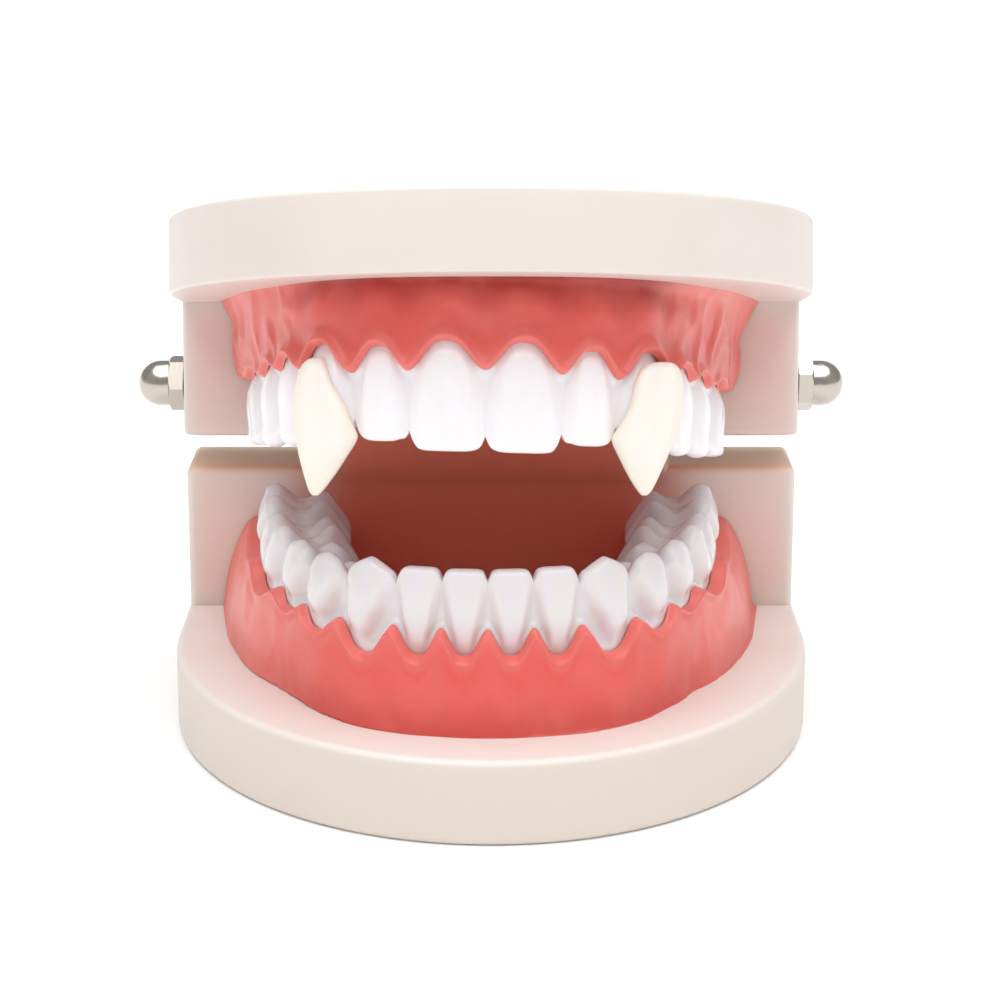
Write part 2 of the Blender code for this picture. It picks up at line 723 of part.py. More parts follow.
def finish_material(name):
    """Make one plain material from the finish table."""
    finish = FINISHES[name]
    material = bpy.data.materials.new(name)
    material.use_nodes = True
    shader = material.node_tree.nodes["Principled BSDF"]
    shader.inputs["Base Color"].default_value = (finish.red, finish.green, finish.blue, 1.0)
    shader.inputs["Roughness"].default_value = finish.rough
    shader.inputs["Metallic"].default_value = finish.metal
    return material


def dress(obj, material, smooth):
    """Give a piece its material and, where it is moulded soft, smooth shading."""
    obj.data.materials.clear()
    obj.data.materials.append(material)
    if smooth:
        obj.data.shade_smooth()
        obj.data.set_sharp_from_angle(angle=math.radians(35.0))


def hang(pieces, coll):
    """Hang the upper jaw's pieces on the hinge axis and swing them open."""
    hinge = bpy.data.objects.new("upper_jaw_hinge", None)
    coll.objects.link(hinge)
    hinge.location = world_point(0.0, PIN_DEPTH, PIN_HEIGHT)
    hinge.rotation_euler = (-math.radians(GAPE_DEG), 0.0, 0.0)
    for piece in pieces:
        piece.data.transform(Matrix.Translation(-hinge.location))
        piece.parent = hinge


def build():
    """Build every piece and hang the upper jaw open."""
    clear_scene()
    parts = new_collection("fang_caps_on_display_jaw", True)
    cutters = new_collection("cutters", False)
    lower = Arch(LOWER_JAW)
    upper = Arch(UPPER_JAW)
    plates = [lower_base(parts, cutters), upper_base(parts, cutters)]
    gums = [gum_ridge(lower, "lower_gum", parts), gum_ridge(upper, "upper_gum", parts)]
    join_shapes(gums[1], [palate(upper, cutters)], "UNION")
    rows = [
        tooth_row(lower, "lower_teeth", lower.stations(TOOTH_STEPS), parts),
        tooth_row(upper, "upper_teeth", upper.stations(TOOTH_STEPS), parts),
    ]
    fangs = [fang_cap(upper, seat, parts, cutters) for seat in FANG_SEATS]
    reach = PLATE_WIDTH / 2.0 + NUT_BORE_DEPTH
    pin = crosswise_rod("hinge_pin", PIN_RADIUS, -reach, reach, PIN_SIDES, parts)
    nuts = [
        acorn_nut("acorn_nut_left", -1, parts, cutters),
        acorn_nut("acorn_nut_right", 1, parts, cutters),
    ]
    finishes = {name: finish_material(name) for name in FINISHES}
    dressed = (
        ("ivory_plastic", plates),
        ("coral_gum", gums),
        ("white_teeth", rows),
        ("ivory_fang", fangs),
        ("nickel", [pin] + nuts),
    )
    for finish, pieces in dressed:
        for piece in pieces:
            dress(piece, finishes[finish], True)
    hang([plates[1], gums[1], rows[1], pin] + fangs + nuts, parts)
    bpy.data.collections.remove(cutters)


build()
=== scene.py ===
"""Looks of a hinged dental display model that wears a pair of slip-on vampire fang caps.

Lengths are millimetres while a piece is worked out and metres in its mesh. +Z is up and the front
faces -Y. Depths run back from the front of the plates. Each jaw is drawn from its own plate, so
heights run away from it, and the upper jaw is drawn closed and then swung open about the pin.
"""
import logging
import math
from dataclasses import dataclass
from enum import Enum
from typing import Any, NamedTuple, Sequence

import bmesh
import bpy
import numpy as np
from mathutils import Matrix, Vector, noise

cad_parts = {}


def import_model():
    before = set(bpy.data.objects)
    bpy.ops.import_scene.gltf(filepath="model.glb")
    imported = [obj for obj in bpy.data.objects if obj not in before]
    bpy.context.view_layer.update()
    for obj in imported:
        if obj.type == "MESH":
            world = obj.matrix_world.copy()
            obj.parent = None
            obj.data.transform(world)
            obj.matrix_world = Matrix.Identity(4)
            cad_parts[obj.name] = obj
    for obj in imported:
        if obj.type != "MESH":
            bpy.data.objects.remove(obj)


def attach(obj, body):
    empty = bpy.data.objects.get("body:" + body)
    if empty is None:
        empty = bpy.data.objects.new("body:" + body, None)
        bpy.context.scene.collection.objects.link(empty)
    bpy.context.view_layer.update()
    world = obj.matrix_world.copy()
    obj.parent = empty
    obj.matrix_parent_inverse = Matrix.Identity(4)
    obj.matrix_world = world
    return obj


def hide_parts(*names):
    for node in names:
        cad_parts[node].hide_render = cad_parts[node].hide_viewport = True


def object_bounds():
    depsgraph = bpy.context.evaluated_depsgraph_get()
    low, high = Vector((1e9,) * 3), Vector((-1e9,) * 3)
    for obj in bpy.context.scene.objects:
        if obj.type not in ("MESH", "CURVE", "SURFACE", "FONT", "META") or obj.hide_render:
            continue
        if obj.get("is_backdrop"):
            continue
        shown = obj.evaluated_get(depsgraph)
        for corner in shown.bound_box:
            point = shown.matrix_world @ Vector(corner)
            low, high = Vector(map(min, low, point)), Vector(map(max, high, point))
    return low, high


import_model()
CAD_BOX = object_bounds()

log = logging.getLogger("display_jaw")
MM = 0.001

# Sizes shared with the solids, in millimetres
PLATE_WIDTH = 76.0
PLATE_LENGTH = 68.5
NOSE_LENGTH = 46.0
LOWER_THICK = 9.6
UPPER_THICK = 8.9
EDGE_ROUND = 0.9
BLOCK_DEPTH = 12.1
BLOCK_HEIGHT = 17.8
BLOCK_INSET = 0.25
PIN_ABOVE_BLOCK = 9.8
PIN_FROM_BACK = 7.7
TONGUE_ABOVE_PIN = 6.5
TONGUE_HEADROOM = 3.2
EAR_WIDTH = 15.0
EAR_SIDE_GAP = 0.9
EAR_BELOW_PIN = 6.5
EAR_BEFORE_PIN = 6.4
EAR_CORNER = 3.0
EAR_DRAFT = 0.2
EAR_GUM_GAP = 0.5
GAPE_DEG = 14.2
SEAT_GAP = 0.3
MOLAR_THICK = 11.2
LOWER_TOOTH_HEIGHT = 18.0
BITE_GAP = 0.8
PIN_DEPTH = PLATE_LENGTH - PIN_FROM_BACK
PIN_HEIGHT = LOWER_THICK + BLOCK_HEIGHT + PIN_ABOVE_BLOCK
ROOF_HEIGHT = PIN_HEIGHT + TONGUE_ABOVE_PIN + TONGUE_HEADROOM
BLOCK_FRONT = PLATE_LENGTH - BLOCK_DEPTH
UPPER_TOOTH_HEIGHT = ROOF_HEIGHT - LOWER_THICK - LOWER_TOOTH_HEIGHT - BITE_GAP


class Body(Enum):
    """The two bodies that the hinge joins."""

    LOWER = "lower_jaw"
    UPPER = "upper_jaw"


class Side(Enum):
    """Sides of the jaw as the photo shows them."""

    LEFT = -1
    RIGHT = 1


class Tooth(NamedTuple):
    """One tooth: width as a share of half the row, heights as shares of the tooth height, offsets
    from the arch line as shares of the molars' thickness."""

    width: float
    zenith: float
    papilla: float
    top: float
    in_top: float
    fossa: float
    tip: float
    valley: float
    corner: float
    belly: float
    neck: float
    edge: float
    in_belly: float
    in_neck: float


class Foot(NamedTuple):
    """How far a gum's foot reaches outward and inward, as shares of the foot's reach."""

    out: float
    inside: float


class Form(NamedTuple):
    """How a crown's face is modelled: share of the width left at the neck, depth of the web beside
    it in millimetres, how far the neck leans away from the midline, how full the lower face is, the
    share of the width that stays flat, and how squarely the edge's corners turn."""

    taper: float
    recess: float
    skew: float
    fullness: float
    flat: float
    squareness: float = 6.0


class Flank(NamedTuple):
    """How much of the foot's spread a gum's outer flank keeps: low, high and at the rim."""

    low: float
    high: float
    top: float


LOWER_LINE = (
    (0.0, 0.0),
    (0.195, 0.009),
    (0.39, 0.033),
    (0.57, 0.093),
    (0.703, 0.181),
    (0.809, 0.291),
    (0.922, 0.457),
    (0.977, 0.656),
    (0.992, 0.843),
    (1.0, 1.042),
)
UPPER_LINE = (
    (0.0, 0.0),
    (0.158, 0.004),
    (0.312, 0.02),
    (0.508, 0.066),
    (0.662, 0.141),
    (0.767, 0.245),
    (0.861, 0.382),
    (0.955, 0.565),
    (0.989, 0.77),
    (1.0, 1.046),
)
LOWER_TEETH = (
    Tooth(0.095, 0.483, 0.65, 1.0, 0.989, 0.006, 0.0, 0.0, 0.044, 0.116, 0.045, 0.116, 0.393, 0.286),
    Tooth(0.097, 0.478, 0.65, 1.006, 0.994, 0.006, 0.0, 0.0, 0.05, 0.116, 0.045, 0.116, 0.393, 0.286),
    Tooth(0.122, 0.467, 0.661, 1.039, 0.967, 0.006, 0.089, 0.0, 0.044, 0.17, 0.09, 0.116, 0.464, 0.321),
    Tooth(0.126, 0.533, 0.63, 1.0, 0.9, 0.05, 0.061, 0.0, 0.056, 0.196, 0.135, 0.304, 0.536, 0.411),
    Tooth(0.13, 0.567, 0.64, 0.983, 0.933, 0.061, 0.05, 0.0, 0.056, 0.196, 0.14, 0.357, 0.625, 0.5),
    Tooth(0.213, 0.544, 0.635, 0.989, 0.967, 0.083, 0.0, 0.039, 0.078, 0.205, 0.145, 0.509, 0.786, 0.643),
    Tooth(0.217, 0.606, 0.67, 1.02, 0.985, 0.078, 0.0, 0.039, 0.07, 0.214, 0.15, 0.5, 0.786, 0.643),
)
UPPER_TEETH = (
    Tooth(0.148, 0.373, 0.535, 1.0, 0.984, 0.005, 0.0, 0.0, 0.065, 0.08, 0.009, 0.125, 0.518, 0.393),
    Tooth(0.1135, 0.411, 0.562, 0.951, 0.93, 0.005, 0.0, 0.0, 0.065, 0.08, 0.018, 0.116, 0.464, 0.357),
    Tooth(0.135, 0.405, 0.573, 0.973, 0.908, 0.005, 0.092, 0.0, 0.043, 0.143, 0.045, 0.125, 0.589, 0.446),
    Tooth(0.124, 0.47, 0.54, 0.989, 0.957, 0.065, 0.059, 0.0, 0.054, 0.17, 0.071, 0.446, 0.696, 0.554),
    Tooth(0.121, 0.503, 0.565, 0.995, 0.962, 0.065, 0.049, 0.0, 0.054, 0.17, 0.071, 0.464, 0.696, 0.554),
    Tooth(0.1855, 0.535, 0.595, 0.984, 0.973, 0.081, 0.0, 0.032, 0.07, 0.17, 0.071, 0.554, 0.821, 0.679),
    Tooth(0.173, 0.53, 0.575, 0.962, 0.951, 0.076, 0.0, 0.032, 0.081, 0.161, 0.071, 0.536, 0.804, 0.661),
)
LOWER_FORMS = (
    Form(0.6, 0.2, 0.0, 0.0, 0.45),
    Form(0.6, 0.25, 0.05, 0.0, 0.45),
    Form(0.5, 0.45, 0.5, 0.0, 0.35),
    Form(0.6, 0.9, 0.3, 0.0, 0.3),
    Form(0.65, 0.9, 0.2, 0.1, 0.3),
    Form(0.8, 0.9, 0.05, 0.2, 0.5),
    Form(0.8, 0.9, 0.05, 0.2, 0.5),
)
UPPER_FORMS = (
    Form(0.88, 0.2, 0.0, 0.15, 0.55),
    Form(0.8, 0.3, 0.0, 0.1, 0.45, 3.6),
    Form(0.9, 0.05, 0.0, 0.1, 0.5),
    Form(0.8, 0.5, 0.0, 0.7, 0.3),
    Form(0.8, 0.5, 0.0, 0.8, 0.3),
    Form(0.84, 0.5, 0.0, 0.8, 0.45),
    Form(0.84, 0.5, 0.0, 0.8, 0.45),
)
LOWER_FEET = (
    Foot(0.308, 0.673),
    Foot(0.288, 0.673),
    Foot(0.26, 0.692),
    Foot(0.221, 0.75),
    Foot(0.231, 0.808),
    Foot(0.41, 0.942),
    Foot(0.6, 0.981),
    Foot(0.731, 1.0),
)
UPPER_FEET = (
    Foot(0.083, 0.75),
    Foot(0.083, 0.733),
    Foot(0.025, 0.8),
    Foot(0.042, 0.883),
    Foot(0.092, 0.917),
    Foot(0.175, 1.017),
    Foot(0.34, 1.033),
    Foot(0.5, 1.0),
)


# Small helpers


def linear(code: str) -> tuple[float, float, float, float]:
    """Turn an sRGB hex value into a linear colour.

    Args:
        code: the colour as #RRGGBB.

    Returns:
        Linear red, green and blue, and an alpha of one.
    """
    parts = [int(code[k : k + 2], 16) / 255.0 for k in (1, 3, 5)]
    line = [c / 12.92 if c <= 0.04045 else ((c + 0.055) / 1.055) ** 2.4 for c in parts]
    return (line[0], line[1], line[2], 1.0)


def first(source: bpy.types.Node | bpy.types.NodeSocket) -> bpy.types.NodeSocket:
    """A socket itself, or the first output of a node that is in use."""
    if isinstance(source, bpy.types.NodeSocket):
        return source
    return next(socket for socket in source.outputs if socket.enabled)


def feed(
    node: bpy.types.Node, settings: dict[Any, Any] | None = None, links: dict[Any, Any] | None = None
) -> None:
    """Give a node its settings and links.

    Args:
        node: the node.
        settings: values by property name, or by an input's number or name.
        links: what feeds inputs, by the input's number or name: a socket, a node, or a list of them.
    """
    for key, value in (settings or {}).items():
        if isinstance(key, str) and hasattr(node, key):
            setattr(node, key, value)
        else:
            node.inputs[key].default_value = value
    for key, source in (links or {}).items():
        for one in source if isinstance(source, list) else [source]:
            node.id_data.links.new(first(one), node.inputs[key])


def add(
    tree: bpy.types.NodeTree,
    kind: str,
    settings: dict[Any, Any] | None = None,
    links: dict[Any, Any] | None = None,
) -> bpy.types.Node:
    """Add a node with its settings and links.

    Args:
        tree: the material's or geometry's node tree.
        kind: the node's type name.
        settings: values by property name, or by an input's number or name.
        links: what feeds inputs, by the input's number or name.

    Returns:
        The new node.
    """
    node = tree.nodes.new(kind)
    feed(node, settings, links)
    return node


def world(side: Any, depth: Any, height: Any) -> np.ndarray:
    """Turn sideways, depth and height values in millimetres into scene points in metres."""
    return np.stack(np.broadcast_arrays(side, np.asarray(depth) - PLATE_LENGTH / 2.0, height), axis=-1) * MM


def opened(points: np.ndarray) -> np.ndarray:
    """Swing points of the closed upper jaw open about the hinge pin.

    Args:
        points: scene points in metres.

    Returns:
        The points where the open jaw has them.
    """
    pivot = world(0.0, PIN_DEPTH, PIN_HEIGHT)
    turn = np.array(Matrix.Rotation(-math.radians(GAPE_DEG), 3, "X"))
    return (points - pivot) @ turn.T + pivot


def between(low: np.ndarray, high: np.ndarray, start: Any, end: Any, t: Any) -> np.ndarray:
    """Blend two values by where a time lies between the start and the end."""
    return low * (end - t) / (end - start) + high * (t - start) / (end - start)


def spline(points: np.ndarray, counts: Sequence[int], least: float = 1e-4) -> np.ndarray:
    """Run centripetal curves through rows of control points.

    Args:
        points: control points of each row, shaped rows, points, axes.
        counts: how many steps each stretch between two control points gets.
        least: the shortest distance that two control points are taken to have.

    Returns:
        The rows' curves, with the last control point at their end.
    """
    first = points[:, :1] * 2.0 - points[:, 1:2]
    last = points[:, -1:] * 2.0 - points[:, -2:-1]
    nodes = np.concatenate([first, points, last], axis=1)
    out = []
    for k, count in enumerate(counts):
        near = [nodes[:, k + j] for j in range(4)]
        times = [0.0]
        for before, after in zip(near, near[1:]):
            gap = np.maximum(np.linalg.norm(after - before, axis=-1), least)[:, None]
            times.append(times[-1] + gap**0.5)
        for step in range(count):
            t = times[1] + (times[2] - times[1]) * step / count
            once = [between(near[j], near[j + 1], times[j], times[j + 1], t) for j in range(3)]
            twice = [between(once[j], once[j + 1], times[j], times[j + 2], t) for j in range(2)]
            out.append(between(*twice, times[1], times[2], t))
    out.append(nodes[:, -2])
    return np.stack(out, axis=1)


def loft_faces(rings: int, count: int, start: int = 0) -> list[tuple[int, ...]]:
    """Faces that skin closed rings of equal size and cap both ends.

    Args:
        rings: how many rings there are.
        count: points on each ring.
        start: index of the first point.

    Returns:
        Faces as tuples of point numbers.
    """
    faces: list[tuple[int, ...]] = []
    for row in range(rings - 1):
        for k in range(count):
            after = (k + 1) % count
            low, high = start + row * count, start + (row + 1) * count
            faces.append((low + k, low + after, high + after, high + k))
    faces.append(tuple(start + k for k in reversed(range(count))))
    faces.append(tuple(start + (rings - 1) * count + k for k in range(count)))
    return faces


def linked(name: str, data: bpy.types.ID) -> bpy.types.Object:
    """Make an object for some data and put it in the scene.

    Args:
        name: the object's name.
        data: its mesh, light or camera.

    Returns:
        The new object.
    """
    obj = bpy.data.objects.new(name, data)
    bpy.context.scene.collection.objects.link(obj)
    return obj


class Shell:
    """Collects closed shells for one piece, with a value pair for each point."""

    def __init__(self) -> None:
        """Start with no points."""
        self.points: list[np.ndarray] = []
        self.pairs: list[np.ndarray] = []
        self.faces: list[tuple[int, ...]] = []
        self.total = 0

    def loft(self, rings: np.ndarray, pairs: np.ndarray | None = None) -> None:
        """Skin closed rings into one shell.

        Args:
            rings: points in metres, shaped rings, points, 3.
            pairs: two values for each point, kept as its UV.
        """
        rows, count = rings.shape[:2]
        self.faces += loft_faces(rows, count, self.total)
        self.points.append(rings.reshape(-1, 3))
        empty = np.zeros((rows * count, 2))
        self.pairs.append(empty if pairs is None else pairs.reshape(-1, 2))
        self.total += rows * count

    def piece(
        self, name: str, material: bpy.types.Material, sharp_deg: float | None = None
    ) -> bpy.types.Object:
        """Turn the shells into one object with its faces pointing outward.

        Args:
            name: the piece's name.
            material: its finish.
            sharp_deg: edges turned more than this stay sharp; None keeps all soft.

        Returns:
            The new object.
        """
        mesh = bpy.data.meshes.new(name)
        points = np.concatenate(self.points)
        pairs = np.concatenate(self.pairs)
        mesh.from_pydata(points.tolist(), [], self.faces)
        layer = mesh.uv_layers.new(name="strip")
        numbers = np.empty(len(mesh.loops), dtype=np.int64)
        mesh.loops.foreach_get("vertex_index", numbers)
        layer.data.foreach_set("uv", pairs[numbers].ravel().astype(np.float32))
        work = bmesh.new()
        work.from_mesh(mesh)
        bmesh.ops.recalc_face_normals(work, faces=work.faces)
        work.to_mesh(mesh)
        work.free()
        mesh.shade_smooth()
        if sharp_deg is not None:
            mesh.set_sharp_from_angle(angle=math.radians(sharp_deg))
        mesh.materials.append(material)
        return linked(name, mesh)


def settled(obj: bpy.types.Object) -> bpy.types.Object:
    """Bake an object's modifiers into a plain mesh.

    Args:
        obj: the object with live modifiers.

    Returns:
        The same object with its new mesh.
    """
    graph = bpy.context.evaluated_depsgraph_get()
    mesh = bpy.data.meshes.new_from_object(obj.evaluated_get(graph))
    obj.modifiers.clear()
    obj.data = mesh
    return obj


def place(obj: bpy.types.Object, body: Body, *nodes: str) -> bpy.types.Object:
    """Let a finished piece stand for its solids and ride on its body.

    Args:
        obj: the piece.
        body: the body that carries it.
        nodes: the solids that it stands for.

    Returns:
        The piece.
    """
    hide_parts(*nodes)
    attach(obj, body.value)
    log.info("%s: %d faces, rides on %s", obj.name, len(obj.data.polygons), body.value)
    return obj


# Finishes

# Sockets are named by number where their names repeat. A map range has its value at 0, the limits
# that it reads at 1 and 2, and what they become at 3 and 4. A colour mix has its share at 0 and its
# two colours at 6 and 7.
SMOOTH = {"interpolation_type": "SMOOTHSTEP"}
COLOURS = {"data_type": "RGBA"}
TIMES = {"operation": "MULTIPLY"}
LARGER = {"operation": "MAXIMUM"}
WHITE = (1.0, 1.0, 1.0, 1.0)


@dataclass(frozen=True)
class Finish:
    """What every finish shares: a named material with one Principled shader."""

    name: str
    base: str
    roughness: float
    ior: float = 1.5

    def material(self) -> bpy.types.Material:
        """Build the node material.

        Returns:
            The material, with the values that are the same all over and what the finish adds.
        """
        material = bpy.data.materials.new(self.name)
        material.use_nodes = True
        tree = material.node_tree
        shader = tree.nodes["Principled BSDF"]
        feed(shader, {"Base Color": linear(self.base), "Roughness": self.roughness, "IOR": self.ior})
        self.dress(tree, shader, add(tree, "ShaderNodeTexCoord").outputs["Object"])
        return material

    def dress(self, tree: bpy.types.NodeTree, shader: bpy.types.Node, spot: bpy.types.NodeSocket) -> None:
        """Add the patterns of the finish.

        Args:
            tree: the material's node tree.
            shader: its Principled shader.
            spot: the place on the piece.
        """
        raise NotImplementedError

    def inside(self, share: float, radius: tuple[float, float, float], deep_mm: float) -> dict[str, Any]:
        """Shader settings for the light that goes a little way in.

        Args:
            share: how much of the light does.
            radius: how far red, green and blue go, as shares of the depth.
            deep_mm: the depth.

        Returns:
            Settings by the input's name.
        """
        return {"Subsurface Weight": share, "Subsurface Radius": radius, "Subsurface Scale": deep_mm * MM}

    def relief(
        self,
        spot: bpy.types.NodeSocket,
        mm: float,
        deep_mm: float,
        strength: float,
        under: bpy.types.Node | None = None,
    ) -> bpy.types.Node:
        """Raise and lower the surface by a noise.

        Args:
            spot: the place on the piece.
            mm: width of the noise's grains.
            deep_mm: how far they stand out.
            strength: how much of that the light shows.
            under: a coarser relief that lies under this one.

        Returns:
            The node that bends the surface's normal.
        """
        tree = spot.id_data
        grain = add(tree, "ShaderNodeTexNoise", {"Scale": 1000.0 / mm, "Detail": 2.0}, {"Vector": spot})
        links = {"Height": grain} | ({"Normal": under} if under else {})
        return add(tree, "ShaderNodeBump", {"Strength": strength, "Distance": deep_mm * MM}, links)


@dataclass(frozen=True)
class MouldedPlate(Finish):
    """Cream polystyrene from an injection mould: satin, very slightly cloudy, with fine spark grain.
    Upright faces carry painted shade, darkest low down. The ledge between the ears carries painted
    warm bounce light, and the wall behind the teeth painted red bounce light and shade from the gums."""

    shade: str = "#EAE1DA"
    # Painted shade on upright faces, darkest low down
    rim: str = "#E1D5CB"
    # Painted warm bounce light on the level ledge between the ears
    painted_ledge_bounce: str = "#F3D4BC"
    # Painted red bounce light and shade from the gums on the wall behind the teeth, and its share
    painted_wall_bounce_shade: str = "#F87A52"
    painted_wall_bounce_shade_share: float = 0.85
    cloud_mm: float = 16.0
    grain_mm: float = 0.32
    grain_deep_mm: float = 0.012

    def dress(self, tree: bpy.types.NodeTree, shader: bpy.types.Node, spot: bpy.types.NodeSocket) -> None:
        """Add the clouds, the painted shade on upright faces, the painted warm bounce light on the ledge,
        the painted red bounce light and shade on the wall behind the teeth, and the grain.

        Args:
            tree: the material's node tree.
            shader: its Principled shader.
            spot: the place on the piece.
        """
        clouds = {"Scale": 1000.0 / self.cloud_mm, "Detail": 3.0}
        cloud = add(tree, "ShaderNodeTexNoise", clouds, {"Vector": spot})
        soft = add(tree, "ShaderNodeMapRange", {1: 0.35, 2: 0.7}, {0: cloud})
        tint = add(tree, "ShaderNodeMix", COLOURS | {6: linear(self.base), 7: linear(self.shade)}, {0: soft})
        side, depth, height = add(tree, "ShaderNodeSeparateXYZ", None, {0: spot}).outputs
        aside = add(tree, "ShaderNodeMath", {"operation": "ABSOLUTE"}, {0: side})
        normal = add(tree, "ShaderNodeNewGeometry").outputs["Normal"]
        facing = add(tree, "ShaderNodeSeparateXYZ", None, {0: normal}).outputs[2]
        # Upright faces count in full and level ones not at all
        upright = add(tree, "ShaderNodeMapRange", SMOOTH | {1: 0.2, 2: 0.9, 3: 1.0, 4: 0.0}, {0: facing})
        flat = add(tree, "ShaderNodeMath", {"operation": "SUBTRACT", 0: 1.0}, {1: upright})
        # Each tint has a mask to start from and bands, in millimetres, that narrow it: which way the
        # band runs, where it starts and ends, and the mask's share at its start and end.
        painted_light_tints = (
            # Painted shade: upright faces darker, most of all low down
            (self.rim, upright, ((height, 8.5, 30.0, 1.0, 0.45),)),
            # Painted warm bounce light on the level ledge between the ears
            (self.painted_ledge_bounce, flat, ((height, 26.2, 26.8, 0.0, 1.0), (height, 28.2, 28.8, 1.0, 0.0))),
            # Painted red bounce light and shade on the wall behind the teeth, faint on the ears
            (
                self.painted_wall_bounce_shade,
                None,
                (
                    (depth, 14.0, 20.0, 0.0, 1.0),
                    (depth, 23.2, 24.5, self.painted_wall_bounce_shade_share, 0.0),
                    (aside, 16.0, 27.0, 1.0, 0.15),
                    (aside, 35.5, 37.2, 1.0, 0.0),
                    (height, 9.8, 14.0, 0.0, 1.0),
                    (height, 44.5, 48.0, 1.0, 0.0),
                ),
            ),
        )
        for colour, mask, bands in painted_light_tints:
            for way, low, high, start, end in bands:
                limits = {1: low * MM, 2: high * MM, 3: start, 4: end}
                band = add(tree, "ShaderNodeMapRange", SMOOTH | limits, {0: way})
                mask = add(tree, "ShaderNodeMath", TIMES, {0: mask, 1: band}) if mask else band
            tint = add(tree, "ShaderNodeMix", COLOURS | {7: linear(colour)}, {0: mask, 6: tint})
        rough = {1: 0.3, 2: 0.7, 3: self.roughness - 0.05, 4: self.roughness + 0.06}
        polish = add(tree, "ShaderNodeMapRange", rough, {0: cloud})
        grain = self.relief(spot, self.grain_mm, self.grain_deep_mm, 0.35)
        within = self.inside(0.12, (1.0, 0.75, 0.55), 1.5)
        feed(shader, within, {"Base Color": tint, "Roughness": polish, "Normal": grain})


@dataclass(frozen=True)
class GumVinyl(Finish):
    """Coral soft vinyl: waxy, light goes a little way in, with shallow lumps, painted shade in darker
    red next to the plate at the front, and painted highlight on the rim and in slanted streaks on the
    flanks. The UV's first value is the run along the arch in metres, and its second runs from the
    foot at 0 to the rim at 1."""

    # Painted shade in darker red by the plate at the front: its colour, share and the level where it ends
    painted_foot_shade: str = "#A21D13"
    painted_foot_shade_share: float = 1.0
    painted_foot_shade_top: float = 0.48
    # Pale colour for the painted highlight on the rim and the flanks, and for the random pale patches
    rim: str = "#EE8179"
    painted_rim_highlight_start: float = 0.72
    # Where the flanks start and end along the run: there the painted shade stops and the painted highlight
    # streaks begin
    flank_from_mm: float = 16.0
    flank_to_mm: float = 32.0
    pale_share: float = 0.7
    cloud_mm: float = 5.0
    streak_scale: tuple[float, float, float] = (300.0, 1.4, 1.0)
    streak_slant: float = 0.7
    lump_mm: float = 2.6
    lump_deep_mm: float = 0.12
    skin_mm: float = 0.5
    skin_deep_mm: float = 0.018

    def dress(self, tree: bpy.types.NodeTree, shader: bpy.types.Node, spot: bpy.types.NodeSocket) -> None:
        """Add the painted shade in darker red by the plate, the painted highlight on the rim, pale patches,
        the painted highlight in slanted streaks on the flanks, the lumps and the skin.

        Args:
            tree: the material's node tree.
            shader: its Principled shader.
            spot: the place on the piece.
        """
        strip = add(tree, "ShaderNodeUVMap", {"uv_map": "strip"})
        along, level = add(tree, "ShaderNodeSeparateXYZ", None, {0: strip}).outputs[:2]
        away = add(tree, "ShaderNodeMath", {"operation": "ABSOLUTE"}, {0: along})
        flank_run = {1: self.flank_from_mm * MM, 2: self.flank_to_mm * MM}
        flank = add(tree, "ShaderNodeMapRange", SMOOTH | flank_run, {0: away})
        # Painted shade: darker red near the foot by the plate, but not out on the flanks
        painted_foot_shade = {1: 0.0, 2: self.painted_foot_shade_top, 3: 1.0 - self.painted_foot_shade_share}
        near = add(tree, "ShaderNodeMapRange", SMOOTH | painted_foot_shade, {0: level})
        low = add(tree, "ShaderNodeMath", LARGER, {0: near, 1: flank})
        foot = add(tree, "ShaderNodeMix", COLOURS | {6: linear(self.painted_foot_shade), 7: linear(self.base)}, {0: low})
        clouds = {"Scale": 1000.0 / self.cloud_mm, "Detail": 3.0}
        cloud = add(tree, "ShaderNodeTexNoise", clouds, {"Vector": spot})
        patch = add(tree, "ShaderNodeMapRange", {1: 0.4, 2: 0.75, 4: 0.35}, {0: cloud})
        # Painted highlight in pale slanted streaks over the flanks
        slanted = {"Rotation": (0.0, 0.0, self.streak_slant), "Scale": self.streak_scale}
        slant = add(tree, "ShaderNodeMapping", slanted, {"Vector": strip})
        wavy = {"Scale": 1.0, "Detail": 4.0, "Distortion": 0.8}
        veins = add(tree, "ShaderNodeTexNoise", wavy, {"Vector": slant})
        streak = add(tree, "ShaderNodeMapRange", {1: 0.35, 2: 0.65, 3: 0.6, 4: 1.0}, {0: veins})
        painted_flank_highlight = add(tree, "ShaderNodeMath", TIMES, {0: flank, 1: streak})
        # Pale mix: painted highlight towards the rim, the random pale patches, and the painted highlight
        # streaks on the flanks
        pale = add(tree, "ShaderNodeMapRange", {1: self.painted_rim_highlight_start, 2: 1.0}, {0: level})
        for other in (patch, painted_flank_highlight):
            pale = add(tree, "ShaderNodeMath", LARGER, {0: pale, 1: other})
        share = add(tree, "ShaderNodeMath", TIMES | {1: self.pale_share}, {0: pale})
        tint = add(tree, "ShaderNodeMix", COLOURS | {7: linear(self.rim)}, {0: share, 6: foot})
        lumps = self.relief(spot, self.lump_mm, self.lump_deep_mm, 0.6)
        skin = self.relief(spot, self.skin_mm, self.skin_deep_mm, 0.5, lumps)
        feed(shader, self.inside(0.25, (1.0, 0.3, 0.2), 1.2), {"Base Color": tint, "Normal": skin})


